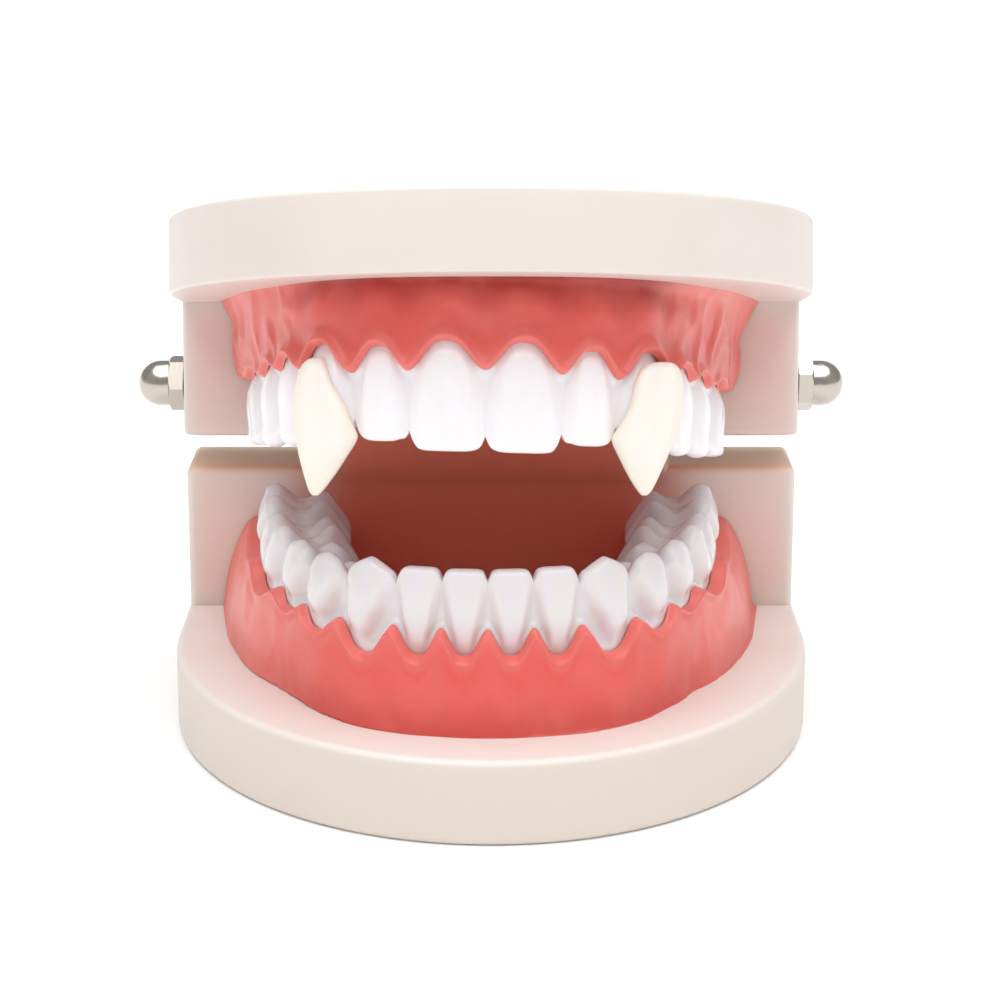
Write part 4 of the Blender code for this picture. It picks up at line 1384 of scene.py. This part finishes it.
@dataclass
class Gum:
    """A horseshoe gum: a soft rim that hugs the teeth, swellings over the roots, and folds."""

    arch: Arch
    name: str
    node: str
    body: Body
    finish: GumVinyl
    root_swell: float = 0.3
    lump: float = 0.22
    fold_deep: float = 0.5
    roll: float = 0.2
    foot_lift: float = -0.05
    bridle: float = 0.0
    palate: bool = False
    rim_thick: float = 0.8
    rim_drop: float = 0.55
    slack: float = 0.1
    hug: float = 0.02
    lingual_drop: float = 1.2
    palate_deep: float = 4.2
    end_gap: float = 0.0
    steps: int = 22
    tail_steps: int = 10
    outer_counts: tuple[int, ...] = (4, 6, 8, 7, 5, 4, 4)
    inner_counts: tuple[int, ...] = (3, 4, 6, 6)
    inner_level: float = 0.6
    roof_level: float = 0.4
    roof_start: float = 1.5
    roof_least: float = 0.8
    roof_rings: int = 40
    roof_points: int = 33

    def relief(self, run: float, level: np.ndarray, below: np.ndarray, u: float) -> np.ndarray:
        """How far the outer flank stands out from its plain shape.

        Args:
            run: distance along the arch.
            level: share of the way up the flank, one value a point.
            below: distance under the rim in millimetres, one value a point.
            u: place in the tooth from -1 to 1.

        Returns:
            Offsets in millimetres.
        """
        window = np.sin(np.pi * np.clip(level, 0.0, 1.0)) ** 0.8
        back = ease(abs(run), 20.0, 32.0)
        out = self.root_swell * (1.0 - 0.6 * back) * (math.cos(math.pi * u / 2.0) ** 2 - 0.5) * window
        seed = 7.0 if self.arch.upper else 1.0
        for k, share in enumerate(level):
            out[k] += self.lump * noise.noise(Vector((run / 3.2, share * 2.6, seed))) * window[k]
            out[k] += self.lump * 1.4 * noise.noise(Vector((run / 7.0, share * 1.2, seed + 4.0))) * window[k]
            slope = abs(run) + share * 7.0
            wrinkle = noise.noise(Vector((slope / 5.0, share * 1.3, seed + math.copysign(2.0, run))))
            out[k] += self.fold_deep * back * (max(0.0, 1.0 - abs(wrinkle) * 4.0) - 0.3) * window[k]
        out += self.roll * bell(below - 0.6, 0.35) - self.roll * 0.5 * bell(below - 1.6, 0.6)
        out += self.bridle * bell(run + self.arch.shift, 0.9) * np.clip(1.0 - level, 0.0, 1.0) ** 0.7 * window
        return out

    def section(self, place: Place, root: np.ndarray, foot: np.ndarray, groove: bool) -> list[np.ndarray]:
        """Control points of the gum's section in three stretches: outer, groove and inner.

        Args:
            place: where along the arch it is.
            root: the tooth root's offsets there.
            foot: outward and inward reach of the gum's foot.
            groove: True where a root stands in it.

        Returns:
            Outer flank, groove and inner flank.
        """
        edge = self.arch.gum_line(place.tooth, place.u) - self.slack
        in_edge = edge - self.lingual_drop
        neck, in_neck = root[0] + self.hug, root[1] + self.hug
        lip = self.rim_thick * (1.0 - 0.4 * ease(abs(place.run), 18.0, 28.0))
        rim, in_rim = root[0] + root[3] + SEAT_GAP + lip, root[1] + SEAT_GAP + lip * 0.8
        floor = root[2] - SEAT_GAP if groove else in_edge - self.rim_drop
        swell = foot[0] - rim
        flank = self.arch.flank
        outer = [
            (foot[0] + 0.2, self.foot_lift),
            (foot[0] - 0.05, 0.6),
            (rim + swell * flank.low, edge * 0.36),
            (rim + swell * flank.high, edge * 0.72),
            (rim + max(0.0, swell) * flank.top, edge - self.rim_drop),
            (neck + lip * 0.72, edge - self.rim_drop * 0.22),
            (neck + lip * 0.34, edge + 0.02),
            (neck, edge - 0.28),
        ]
        inner = [
            (-in_neck, in_edge - 0.3),
            (-in_neck - lip * 0.4, in_edge),
            (-in_rim, in_edge - self.rim_drop),
            (-(in_rim + (foot[1] - in_rim) * 0.6), in_edge * 0.5),
            (-foot[1], self.foot_lift),
        ]
        return [np.array(outer), np.array([(neck, floor), (-in_neck, floor)]), np.array(inner)]

    def ridge(self, shell: Shell) -> None:
        """Skin the horseshoe from end to end.

        Args:
            shell: where its shell goes.
        """
        arch = self.arch
        last = arch.rows[-1]
        step = (arch.end - self.end_gap - arch.length) / self.tail_steps
        behind = [arch.length + 2.0 * SEAT_GAP]
        stops = [step * k for k in range(1, self.tail_steps + 1)]
        behind += [arch.length + stop for stop in stops if stop > 3.0 * SEAT_GAP]
        held = [(place, True) for place in arch.stations(self.steps)]
        tail = [(Place(arch.length + SEAT_GAP, last, 1.0), True)]
        tail += [(Place(run, last, 1.0), False) for run in behind]
        mirrored = [(Place(-place.run, last, 1.0), deep) for place, deep in reversed(tail)]
        every = mirrored + held + tail
        parts = []
        for place, deep in every:
            foot = arch.mixed(place.run, arch.foot_reach)
            parts.append(self.section(place, arch.root(place.run), foot, deep))
        outers, grooves, inners = (np.array(rows) for rows in zip(*parts))
        outer, inner = spline(outers, self.outer_counts), spline(inners, self.inner_counts)
        rings, pairs = [], []
        for k, (place, _) in enumerate(every):
            run = place.run
            line = outer[k].copy()
            top = line[:, 1].max()
            level = np.clip(line[:, 1] / top, 0.0, 1.0)
            reach = np.linspace(0.0, 1.0, len(line))
            # The relief fades out over the arch's last 2 mm and towards the rim
            fade = np.clip((arch.end - abs(run)) / 2.0, 0.0, 1.0) * np.clip((0.92 - reach) / 0.2, 0.0, 1.0)
            line[:, 0] += self.relief(run, level * 0.98, top - line[:, 1], place.u) * fade
            section = np.concatenate([line, grooves[k], inner[k]])
            high = np.concatenate([level, [1.0, 1.0], np.full(len(inner[k]), self.inner_level)])
            tilt = np.where(section[:, 1] > 0.1, 1.0, 0.0)
            rings.append(arch.points(run, section[:, 0], section[:, 1], tilt))
            pairs.append(np.column_stack([np.full(len(section), run * MM), high]))
        shell.loft(np.array(rings), np.array(pairs))

    def vault(self, shell: Shell) -> None:
        """Skin the roof of the mouth between the arms of the upper gum.

        Args:
            shell: where its shell goes.
        """
        arch = self.arch
        rings, pairs = [], []
        for run in np.linspace(self.roof_start, arch.length, self.roof_rings):
            spot, away = arch.at(run)
            half, depth = spot - away * (arch.mixed(run, arch.foot_reach)[1] - self.rim_thick)
            if half < self.roof_least:
                continue
            across = np.linspace(-1.0, 1.0, self.roof_points)
            low = self.palate_deep * (0.82 + 0.45 * np.abs(across) ** 2.4)
            side = np.concatenate([across, [1.0, -1.0]]) * half
            height = np.concatenate([low, [SEAT_GAP, SEAT_GAP]])
            rings.append(opened(world(side, np.full(len(side), depth), ROOF_HEIGHT - height)))
            pairs.append(np.column_stack([np.full(len(side), run * MM), np.full(len(side), self.roof_level)]))
        shell.loft(np.array(rings), np.array(pairs))

    def build(self) -> bpy.types.Object:
        """Build the gum and set it on its body."""
        shell = Shell()
        self.ridge(shell)
        if self.palate:
            self.vault(shell)
        return place(shell.piece(self.name, self.finish.material(), 70.0), self.body, self.node)


# Fang caps


class Level(NamedTuple):
    """One level of a fang cap: share of its length up from the tip, and its half widths."""

    up: float
    outer: float
    inner: float
    front: float
    back: float


FANG_LEVELS = (
    Level(0.0, 0.043, 0.043, 0.043, 0.043),
    Level(0.035, 0.1, 0.12, 0.1, 0.114),
    Level(0.16, 0.19, 0.315, 0.186, 0.229),
    Level(0.297, 0.27, 0.5, 0.257, 0.329),
    Level(0.385, 0.31, 0.615, 0.3, 0.4),
    Level(0.43, 0.325, 0.64, 0.314, 0.443),
    Level(0.54, 0.352, 0.535, 0.317, 0.462),
    Level(0.65, 0.364, 0.45, 0.314, 0.471),
    Level(0.824, 0.335, 0.345, 0.279, 0.429),
    Level(0.93, 0.275, 0.275, 0.214, 0.371),
    Level(0.985, 0.17, 0.18, 0.14, 0.28),
    Level(1.0, 0.08, 0.08, 0.08, 0.18),
)


@dataclass
class FangCap:
    """One slip-on fang, hollowed over the canine that it covers."""

    strip: ToothStrip
    side: Side
    name: str
    node: str
    finish: FangResin
    top_across: float
    tip_across: float
    top_height: float
    top_depth: float = -0.084
    tip_depth: float = -0.284
    length: float = 14.8
    width: float = 7.0
    sides: int = 72
    counts: tuple[int, ...] = (3, 5, 5, 5, 3, 5, 5, 6, 5, 4, 3)
    clearance: float = 0.06
    lean: float = 0.55
    shoulder: float = 1.0
    squareness: float = 0.9
    socket_steps: int = 14
    sharp_deg: float = 50.0

    def outside(self) -> tuple[np.ndarray, np.ndarray]:
        """Shape the cap's outer skin.

        Returns:
            Its rings of scene points and their UV pairs.
        """
        arch = self.strip.arch
        spot = arch.at(self.side.value * arch.centres[2])[0]
        tip = ROOF_HEIGHT - self.top_height * arch.height - self.length
        levels = spline(np.array([FANG_LEVELS]), self.counts)[0]
        angle = math.tau * np.arange(self.sides) / self.sides
        cosine, sine = np.cos(angle), np.sin(angle)
        sideways, backwards = (np.sign(v) * np.abs(v) ** self.squareness for v in (cosine, sine))
        rings, pairs = [], []
        for up, outer, inner, front, back in levels:
            inner *= 1.0 + (self.shoulder - 1.0) * ease(up, 0.6, 1.0)
            across = self.tip_across + (self.top_across - self.tip_across) * up
            behind = self.tip_depth + (self.top_depth - self.tip_depth) * up
            wide = np.where(cosine > 0.0, outer, inner)
            deep = np.where(sine > 0.0, back, front)
            side = (across + wide * sideways) * self.width
            round_arch = self.lean * ease(up, 0.1, 0.6) * np.clip(-cosine, 0.0, 1.0) * wide
            depth = (behind + deep * backwards - round_arch) * self.width
            height = np.full(self.sides, tip + up * self.length)
            place_x = spot[0] + arch.shift + self.side.value * side
            rings.append(opened(world(place_x, spot[1] + depth, height)))
            pairs.append(np.column_stack([np.abs(cosine), np.full(self.sides, up)]))
        return np.array(rings), np.array(pairs)

    def build(self) -> bpy.types.Object:
        """Build the cap, cut its socket and set it on the upper jaw."""
        shell = Shell()
        shell.loft(*self.outside())
        cap = shell.piece(self.name, self.finish.material())
        arch = self.strip.arch
        first_run, last_run = arch.centres[1], arch.centres[4]
        stations = arch.stations(self.socket_steps)
        places = [place for place in stations if first_run < place.run * self.side.value < last_run]
        hollow = Shell()
        hollow.loft(*self.strip.rings(places, self.clearance))
        socket = hollow.piece(self.name + "_socket", cap.data.materials[0])
        cut = cap.modifiers.new("socket", "BOOLEAN")
        cut.operation = "DIFFERENCE"
        cut.solver = "EXACT"
        cut.object = socket
        settled(cap)
        bpy.data.objects.remove(socket, do_unlink=True)
        cap.data.set_sharp_from_angle(angle=math.radians(self.sharp_deg))
        return place(cap, Body.UPPER, self.node)


# Hinge pin and acorn nuts


def named_inputs(tree: bpy.types.NodeTree, sizes: dict[str, float]) -> None:
    """Give a geometry tree its named inputs and its output.

    Args:
        tree: the geometry tree.
        sizes: each input's value by name, in metres or radians.
    """
    tree.interface.new_socket(name="Geometry", in_out="OUTPUT", socket_type="NodeSocketGeometry")
    for name, value in sizes.items():
        socket = tree.interface.new_socket(name=name, in_out="INPUT", socket_type="NodeSocketFloat")
        socket.default_value = value


def grown(
    name: str, tree: bpy.types.NodeTree, sizes: dict[str, float], material: bpy.types.Material
) -> bpy.types.Object:
    """Make a plain mesh object from a geometry tree.

    Args:
        name: the piece's name.
        tree: its geometry tree.
        sizes: values for the tree's named inputs, in metres or radians.
        material: the piece's finish.

    Returns:
        The baked object.
    """
    obj = linked(name, bpy.data.meshes.new(name))
    grow = obj.modifiers.new("grow", "NODES")
    grow.node_group = tree
    for item in tree.interface.items_tree:
        if item.in_out == "INPUT":
            grow[item.identifier] = sizes[item.name]
    settled(obj)
    obj.data.materials.clear()
    obj.data.materials.append(material)
    return obj


def closed_off(
    tree: bpy.types.NodeTree, shape: bpy.types.Node, material: bpy.types.Material, turn: float = 0.0
) -> bpy.types.NodeTree:
    """End a geometry tree: set its shape on the pin's middle, make it real and dress it.

    Args:
        tree: the geometry tree.
        shape: the node that gives the shape.
        material: its finish.
        turn: how far the shape turns from upright to sideways, in radians.

    Returns:
        The tree.
    """
    spot = {"Rotation": (0.0, turn, 0.0), "Translation": tuple(world(0.0, PIN_DEPTH, PIN_HEIGHT))}
    laid = add(tree, "GeometryNodeTransform", spot, {"Geometry": shape})
    whole = add(tree, "GeometryNodeRealizeInstances", None, {0: laid})
    dressed = add(tree, "GeometryNodeSetMaterial", {"Material": material}, {0: whole})
    add(tree, "NodeGroupOutput", None, {0: dressed})
    return tree


@dataclass
class HingeHardware:
    """The pin and the two acorn nuts that close its ends."""

    finish: PolishedNickel
    radius: float = 1.5
    sides: int = 20
    pitch: float = 0.5
    rings_a_turn: int = 8
    thread_deep: float = 0.16
    thread_long: float = 9.0
    flats: float = 6.1
    thick: float = 1.85
    dome_radius: float = 2.8
    dome_neck: float = 1.1
    chamfer: float = 0.02
    chamfer_deg: float = 30.0
    seat: float = 0.04
    turn_deg: float = 15.0
    bore_deep: float = 4.0
    bore_drop: float = 0.5
    sharp_deg: float = 25.0

    def pin_tree(self, sizes: dict[str, float], material: bpy.types.Material) -> bpy.types.NodeTree:
        """Geometry tree of a rod with a thread cut into both ends.

        Args:
            sizes: the tree's named inputs, in metres.
            material: the rod's finish.

        Returns:
            The tree.
        """
        tree = bpy.data.node_groups.new("threaded_pin", "GeometryNodeTree")
        named_inputs(tree, sizes)
        given = add(tree, "NodeGroupInput").outputs
        rings = round(sizes["Length"] / sizes["Pitch"] * self.rings_a_turn)
        mesh = {"fill_type": "NGON", "Vertices": self.sides, "Side Segments": rings}
        size = {"Radius": given["Radius"], "Depth": given["Length"]}
        rod = add(tree, "GeometryNodeMeshCylinder", mesh, size)
        spot = add(tree, "GeometryNodeInputPosition")
        across, up, along = add(tree, "ShaderNodeSeparateXYZ", None, {0: spot}).outputs
        angle = add(tree, "ShaderNodeMath", {"operation": "ARCTAN2"}, {0: up, 1: across})
        turn = add(tree, "ShaderNodeMath", {"operation": "DIVIDE", 1: math.tau}, {0: angle})
        pitches = add(tree, "ShaderNodeMath", {"operation": "DIVIDE"}, {0: along, 1: given["Pitch"]})
        phase = add(tree, "ShaderNodeMath", {"operation": "ADD"}, {0: turn, 1: pitches})
        wave = add(tree, "ShaderNodeMath", {"operation": "PINGPONG", 1: 0.5}, {0: phase})
        half = add(tree, "ShaderNodeMath", TIMES | {1: 0.5}, {0: given["Length"]})
        plain = add(tree, "ShaderNodeMath", {"operation": "SUBTRACT"}, {0: half, 1: given["Thread Length"]})
        reach = add(tree, "ShaderNodeMath", {"operation": "ABSOLUTE"}, {0: along})
        deep = wave
        for factor in (
            add(tree, "ShaderNodeMath", {"operation": "GREATER_THAN"}, {0: reach, 1: plain}),
            given["Thread Depth"],
        ):
            deep = add(tree, "ShaderNodeMath", TIMES, {0: deep, 1: factor})
        inward = add(tree, "ShaderNodeMath", TIMES | {1: -2.0}, {0: deep})
        flat = add(tree, "ShaderNodeCombineXYZ", None, {0: across, 1: up})
        away = add(tree, "ShaderNodeVectorMath", {"operation": "NORMALIZE"}, {0: flat})
        step = add(tree, "ShaderNodeVectorMath", {"operation": "SCALE"}, {0: away, "Scale": inward})
        threaded = add(tree, "GeometryNodeSetPosition", None, {"Geometry": rod, "Offset": step})
        return closed_off(tree, threaded, material, math.pi / 2.0)

    def nut_tree(self, sizes: dict[str, float], material: bpy.types.Material) -> bpy.types.NodeTree:
        """Geometry tree of two domed hexagon nuts, one on each end of the pin.

        Args:
            sizes: the tree's named inputs, in metres and radians.
            material: the nuts' finish.

        Returns:
            The tree.
        """
        tree = bpy.data.node_groups.new("acorn_nuts", "GeometryNodeTree")
        named_inputs(tree, sizes)
        given = add(tree, "NodeGroupInput").outputs
        thick, wide = given["Thickness"], given["Dome Radius"]
        half, tall, double, back = (
            add(tree, "ShaderNodeMath", TIMES | {1: share}, {0: thick}) for share in (0.5, 1.5, 2.0, -1.0)
        )
        crest = add(tree, "ShaderNodeMath", {"operation": "ADD"}, {0: half, 1: given["Dome Neck"]})
        middle = add(tree, "ShaderNodeMath", TIMES | {1: 0.5}, {0: crest})
        hexagon, barrel, drill = (
            add(
                tree,
                "GeometryNodeMeshCylinder",
                {"Vertices": sides, "Side Segments": 1},
                {"Radius": radius, "Depth": depth},
            )
            for sides, radius, depth in (
                (6, given["Corner Radius"], thick),
                (64, wide, crest),
                (32, given["Bore Radius"], double),
            )
        )
        slope = {"Radius Top": given["Chamfer Top"], "Radius Bottom": given["Chamfer Foot"], "Depth": tall}
        round_cone = {"Vertices": 72, "Side Segments": 1, "Fill Segments": 1}
        cone = add(tree, "GeometryNodeMeshCone", round_cone, slope)
        ball = add(tree, "GeometryNodeMeshUVSphere", {"Segments": 64, "Rings": 32}, {"Radius": wide})
        upright = add(tree, "ShaderNodeCombineXYZ", None, {2: given["Turn"]})
        turned = add(tree, "GeometryNodeTransform", None, {"Geometry": hexagon, "Rotation": upright})
        lowered, raised, domed = (
            add(
                tree,
                "GeometryNodeTransform",
                None,
                {"Geometry": part, "Translation": add(tree, "ShaderNodeCombineXYZ", None, {2: rise})},
            )
            for part, rise in ((cone, back), (barrel, middle), (ball, crest))
        )
        low = {"Translation": (0.0, 0.0, -self.bore_drop * MM)}
        sunk = add(tree, "GeometryNodeTransform", low, {"Geometry": drill})
        exact = {"solver": "EXACT"}
        body = add(
            tree, "GeometryNodeMeshBoolean", exact | {"operation": "INTERSECT"}, {"Mesh 2": [turned, lowered]}
        )
        joined = add(
            tree, "GeometryNodeMeshBoolean", exact | {"operation": "UNION"}, {"Mesh 2": [body, raised, domed]}
        )
        bored = add(
            tree,
            "GeometryNodeMeshBoolean",
            exact | {"operation": "DIFFERENCE"},
            {"Mesh 1": joined, "Mesh 2": sunk},
        )
        near = add(tree, "ShaderNodeMath", {"operation": "ADD"}, {0: half, 1: given["Start"]})
        far = add(tree, "ShaderNodeMath", TIMES | {1: -1.0}, {0: near})
        far_end, near_end = (add(tree, "ShaderNodeCombineXYZ", None, {0: along}) for along in (far, near))
        line = {"Start Location": far_end, "Offset": near_end}
        ends = add(tree, "GeometryNodeMeshLine", {"mode": "END_POINTS", "Count": 2}, line)
        number = add(tree, "GeometryNodeInputIndex")
        outward = {"operation": "MULTIPLY_ADD", 1: math.pi, 2: -math.pi / 2.0}
        swing = add(tree, "ShaderNodeMath", outward, {0: number})
        aim = add(tree, "ShaderNodeCombineXYZ", None, {1: swing})
        on_ends = {"Points": ends, "Instance": bored, "Rotation": aim}
        return closed_off(tree, add(tree, "GeometryNodeInstanceOnPoints", None, on_ends), material)

    def swung(self, obj: bpy.types.Object) -> bpy.types.Object:
        """Swing baked hardware open with the jaw and shade it.

        Args:
            obj: the baked pin or nuts.

        Returns:
            The same object.
        """
        pivot = Vector(world(0.0, PIN_DEPTH, PIN_HEIGHT))
        turn = Matrix.Rotation(-math.radians(GAPE_DEG), 4, "X")
        obj.data.transform(Matrix.Translation(pivot) @ turn @ Matrix.Translation(-pivot))
        obj.data.shade_smooth()
        obj.data.set_sharp_from_angle(angle=math.radians(self.sharp_deg))
        return obj

    def build(self) -> None:
        """Build the pin and the nuts and set them on the upper jaw."""
        material = self.finish.material()
        pin = {
            "Radius": self.radius,
            "Length": PLATE_WIDTH + 2.0 * self.bore_deep,
            "Pitch": self.pitch,
            "Thread Depth": self.thread_deep,
            "Thread Length": self.thread_long,
        }
        crown = self.flats / 2.0 - self.chamfer
        nut = {
            "Corner Radius": self.flats / math.sqrt(3.0),
            "Thickness": self.thick,
            "Chamfer Top": crown,
            "Chamfer Foot": crown + self.thick * 1.5 / math.tan(math.radians(self.chamfer_deg)),
            "Dome Radius": self.dome_radius,
            "Dome Neck": self.dome_neck,
            "Start": PLATE_WIDTH / 2.0 + self.seat,
            "Bore Radius": self.radius,
        }
        turn = {"Turn": math.radians(self.turn_deg)}
        for name, tree, lengths, angles, nodes in (
            ("threaded_hinge_pin", self.pin_tree, pin, {}, ("hinge_pin",)),
            ("domed_hex_nuts", self.nut_tree, nut, turn, ("acorn_nut_left", "acorn_nut_right")),
        ):
            sizes = {key: value * MM for key, value in lengths.items()} | angles
            piece = grown(name, tree(sizes, material), sizes, material)
            place(self.swung(piece), Body.UPPER, *nodes)


# Studio


@dataclass
class Studio:
    """Pale floor, soft lights and the camera at the photo's angle. Places are in metres."""

    paper: str = "#FBFBFB"
    paper_rough: float = 0.9
    paper_glow: float = 0.04
    reach: float = 30.0
    softbox_spot: tuple[float, float, float] = (0.5, -0.28, 0.3)
    softbox_size: float = 0.6
    softbox_watts: float = 0.1
    aim: tuple[float, float, float] = (0.0, 0.0, 0.03)
    silk_strength: float = 2.84
    silk_wide_deg: float = 70.0
    silk_tilt_deg: tuple[float, float, float] = (10.0, 1.0, 0.0)
    air_strength: float = 0.38
    haze: tuple[float, float] = (0.03, 0.07)
    lens: float = 99.87
    film: float = 36.0
    lens_shift: float = 0.009
    camera_spot: tuple[float, float, float] = (0.0, -0.31087, 0.11252)
    camera_tilt_deg: float = 75.0

    def floor(self) -> None:
        """Lay a large pale floor."""
        mesh = bpy.data.meshes.new("studio_floor")
        corners = ((-1.0, -1.0), (1.0, -1.0), (1.0, 1.0), (-1.0, 1.0))
        mesh.from_pydata([(x * self.reach, y * self.reach, 0.0) for x, y in corners], [], [(0, 1, 2, 3)])
        material = bpy.data.materials.new("matt_white_paper")
        material.use_nodes = True
        paper = {"Base Color": linear(self.paper), "Roughness": self.paper_rough}
        lit = {"Emission Color": WHITE, "Emission Strength": self.paper_glow}
        feed(material.node_tree.nodes["Principled BSDF"], paper | lit)
        mesh.materials.append(material)
        floor = linked("studio_floor", mesh)
        floor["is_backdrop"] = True

    def softboxes(self) -> None:
        """Hang two square soft lights that face the model, one on each side."""
        for side in Side:
            name = f"{side.name.lower()}_softbox"
            data = bpy.data.lights.new(name, "AREA")
            data.shape = "SQUARE"
            data.size = self.softbox_size
            data.energy = self.softbox_watts
            lamp = linked(name, data)
            across, depth, height = self.softbox_spot
            lamp.location = (across * side.value, depth, height)
            lamp.rotation_euler = (Vector(self.aim) - lamp.location).to_track_quat("-Z", "Y").to_euler()

    def overhead(self) -> None:
        """Light everything evenly from a wide soft source, high and a little in front."""
        data = bpy.data.lights.new("overhead_silk", "SUN")
        data.energy = self.silk_strength
        data.angle = math.radians(self.silk_wide_deg)
        linked("overhead_silk", data).rotation_euler = [math.radians(angle) for angle in self.silk_tilt_deg]

    def air(self) -> None:
        """Fill the studio with even white light, with the far edge of the floor lost in white."""
        sky = bpy.data.worlds.new("studio_air")
        bpy.context.scene.world = sky
        sky.use_nodes = True
        tree = sky.node_tree
        towards = add(tree, "ShaderNodeTexCoord").outputs["Generated"]
        height = add(tree, "ShaderNodeSeparateXYZ", None, {0: towards}).outputs[2]
        fading = {1: self.haze[0], 2: self.haze[1], 3: 1.0, 4: self.air_strength}
        pale = add(tree, "ShaderNodeMapRange", fading, {0: height})
        feed(tree.nodes["Background"], {"Color": WHITE}, {"Strength": pale})

    def camera(self) -> None:
        """Stand the camera where the photo was taken from."""
        data = bpy.data.cameras.new("photo_camera")
        data.lens = self.lens
        data.sensor_width = self.film
        data.shift_x = self.lens_shift
        data.clip_start = 0.01
        camera = linked("photo_camera", data)
        camera.location = self.camera_spot
        camera.rotation_euler = (math.radians(self.camera_tilt_deg), 0.0, 0.0)
        bpy.context.scene.camera = camera

    def build(self) -> None:
        """Set the studio up."""
        self.floor()
        self.air()
        self.softboxes()
        self.overhead()
        self.camera()
        bpy.context.scene.view_settings.view_transform = "Standard"


def main() -> None:
    """Build the display model piece by piece."""
    logging.basicConfig(level=logging.INFO, format="%(name)s: %(message)s")
    Studio().build()
    JawPlates(MouldedPlate("cream_moulded_polystyrene", "#EEE7E2", 0.42)).build()
    lower = Arch(
        LOWER_LINE, LOWER_TEETH, LOWER_FORMS, LOWER_FEET, Flank(0.88, 0.62, 0.28),
        side_inset=12.4, front=10.8, gum_end=BLOCK_FRONT - SEAT_GAP, tail=6.75,
        height=LOWER_TOOTH_HEIGHT, foot=10.4, shift=-0.35, roll=0.0, upper=False, neck_power=1.5,
    )
    upper = Arch(
        UPPER_LINE, UPPER_TEETH, UPPER_FORMS, UPPER_FEET, Flank(0.62, 0.62, 0.42),
        side_inset=11.4, front=8.6, gum_end=PIN_DEPTH - EAR_BEFORE_PIN - EAR_GUM_GAP, tail=4.45,
        height=UPPER_TOOTH_HEIGHT, foot=12.0, shift=-0.6, roll=0.026, upper=True, neck_power=1.5,
    )
    # The lower gum takes a quarter of the painted shade by the plate
    coral = GumVinyl("coral_vinyl_lower", "#E65C52", 0.34, painted_foot_shade_share=0.25)
    Gum(lower, "lower_gum_vinyl", "lower_gum", Body.LOWER, coral, fold_deep=0.12, roll=0.32).build()
    deeper = GumVinyl("coral_vinyl_upper", "#E45F56", 0.34)
    Gum(
        upper, "upper_gum_vinyl", "upper_gum", Body.UPPER, deeper, bridle=0.5, palate=True, end_gap=0.2
    ).build()
    ToothStrip(
        lower, "lower_teeth_acrylic", "lower_teeth", Body.LOWER,
        AcrylicTeeth("grey_white_acrylic", "#E6E2E6", 0.24, streak="#EBE2D0", streak_share=0.55),
    ).build()
    strip = ToothStrip(
        upper, "upper_teeth_acrylic", "upper_teeth", Body.UPPER,
        AcrylicTeeth("cool_white_acrylic", "#FCF8FD", 0.24, streak="#F8F1EE", streak_share=0.4),
    )
    strip.build()
    ivory = FangResin("ivory_cast_resin", "#F9F3EB", 0.3)
    FangCap(
        strip, Side.LEFT, "ivory_fang_left", "fang_cap_left", ivory,
        top_across=0.149, tip_across=0.191, top_height=0.449, shoulder=0.5,
    ).build()
    FangCap(
        strip, Side.RIGHT, "ivory_fang_right", "fang_cap_right", ivory,
        top_across=0.334, tip_across=0.02, top_height=0.476, length=14.3, shoulder=1.4,
    ).build()
    HingeHardware(PolishedNickel("polished_nickel_plate", "#C6BEB4", 0.2)).build()
    low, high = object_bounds()
    spans = [[round(v, 4) for v in box[1] - box[0]] for box in ((low, high), CAD_BOX)]
    log.info("size %s, solids %s", *spans)


if __name__ == "__main__":
    main()
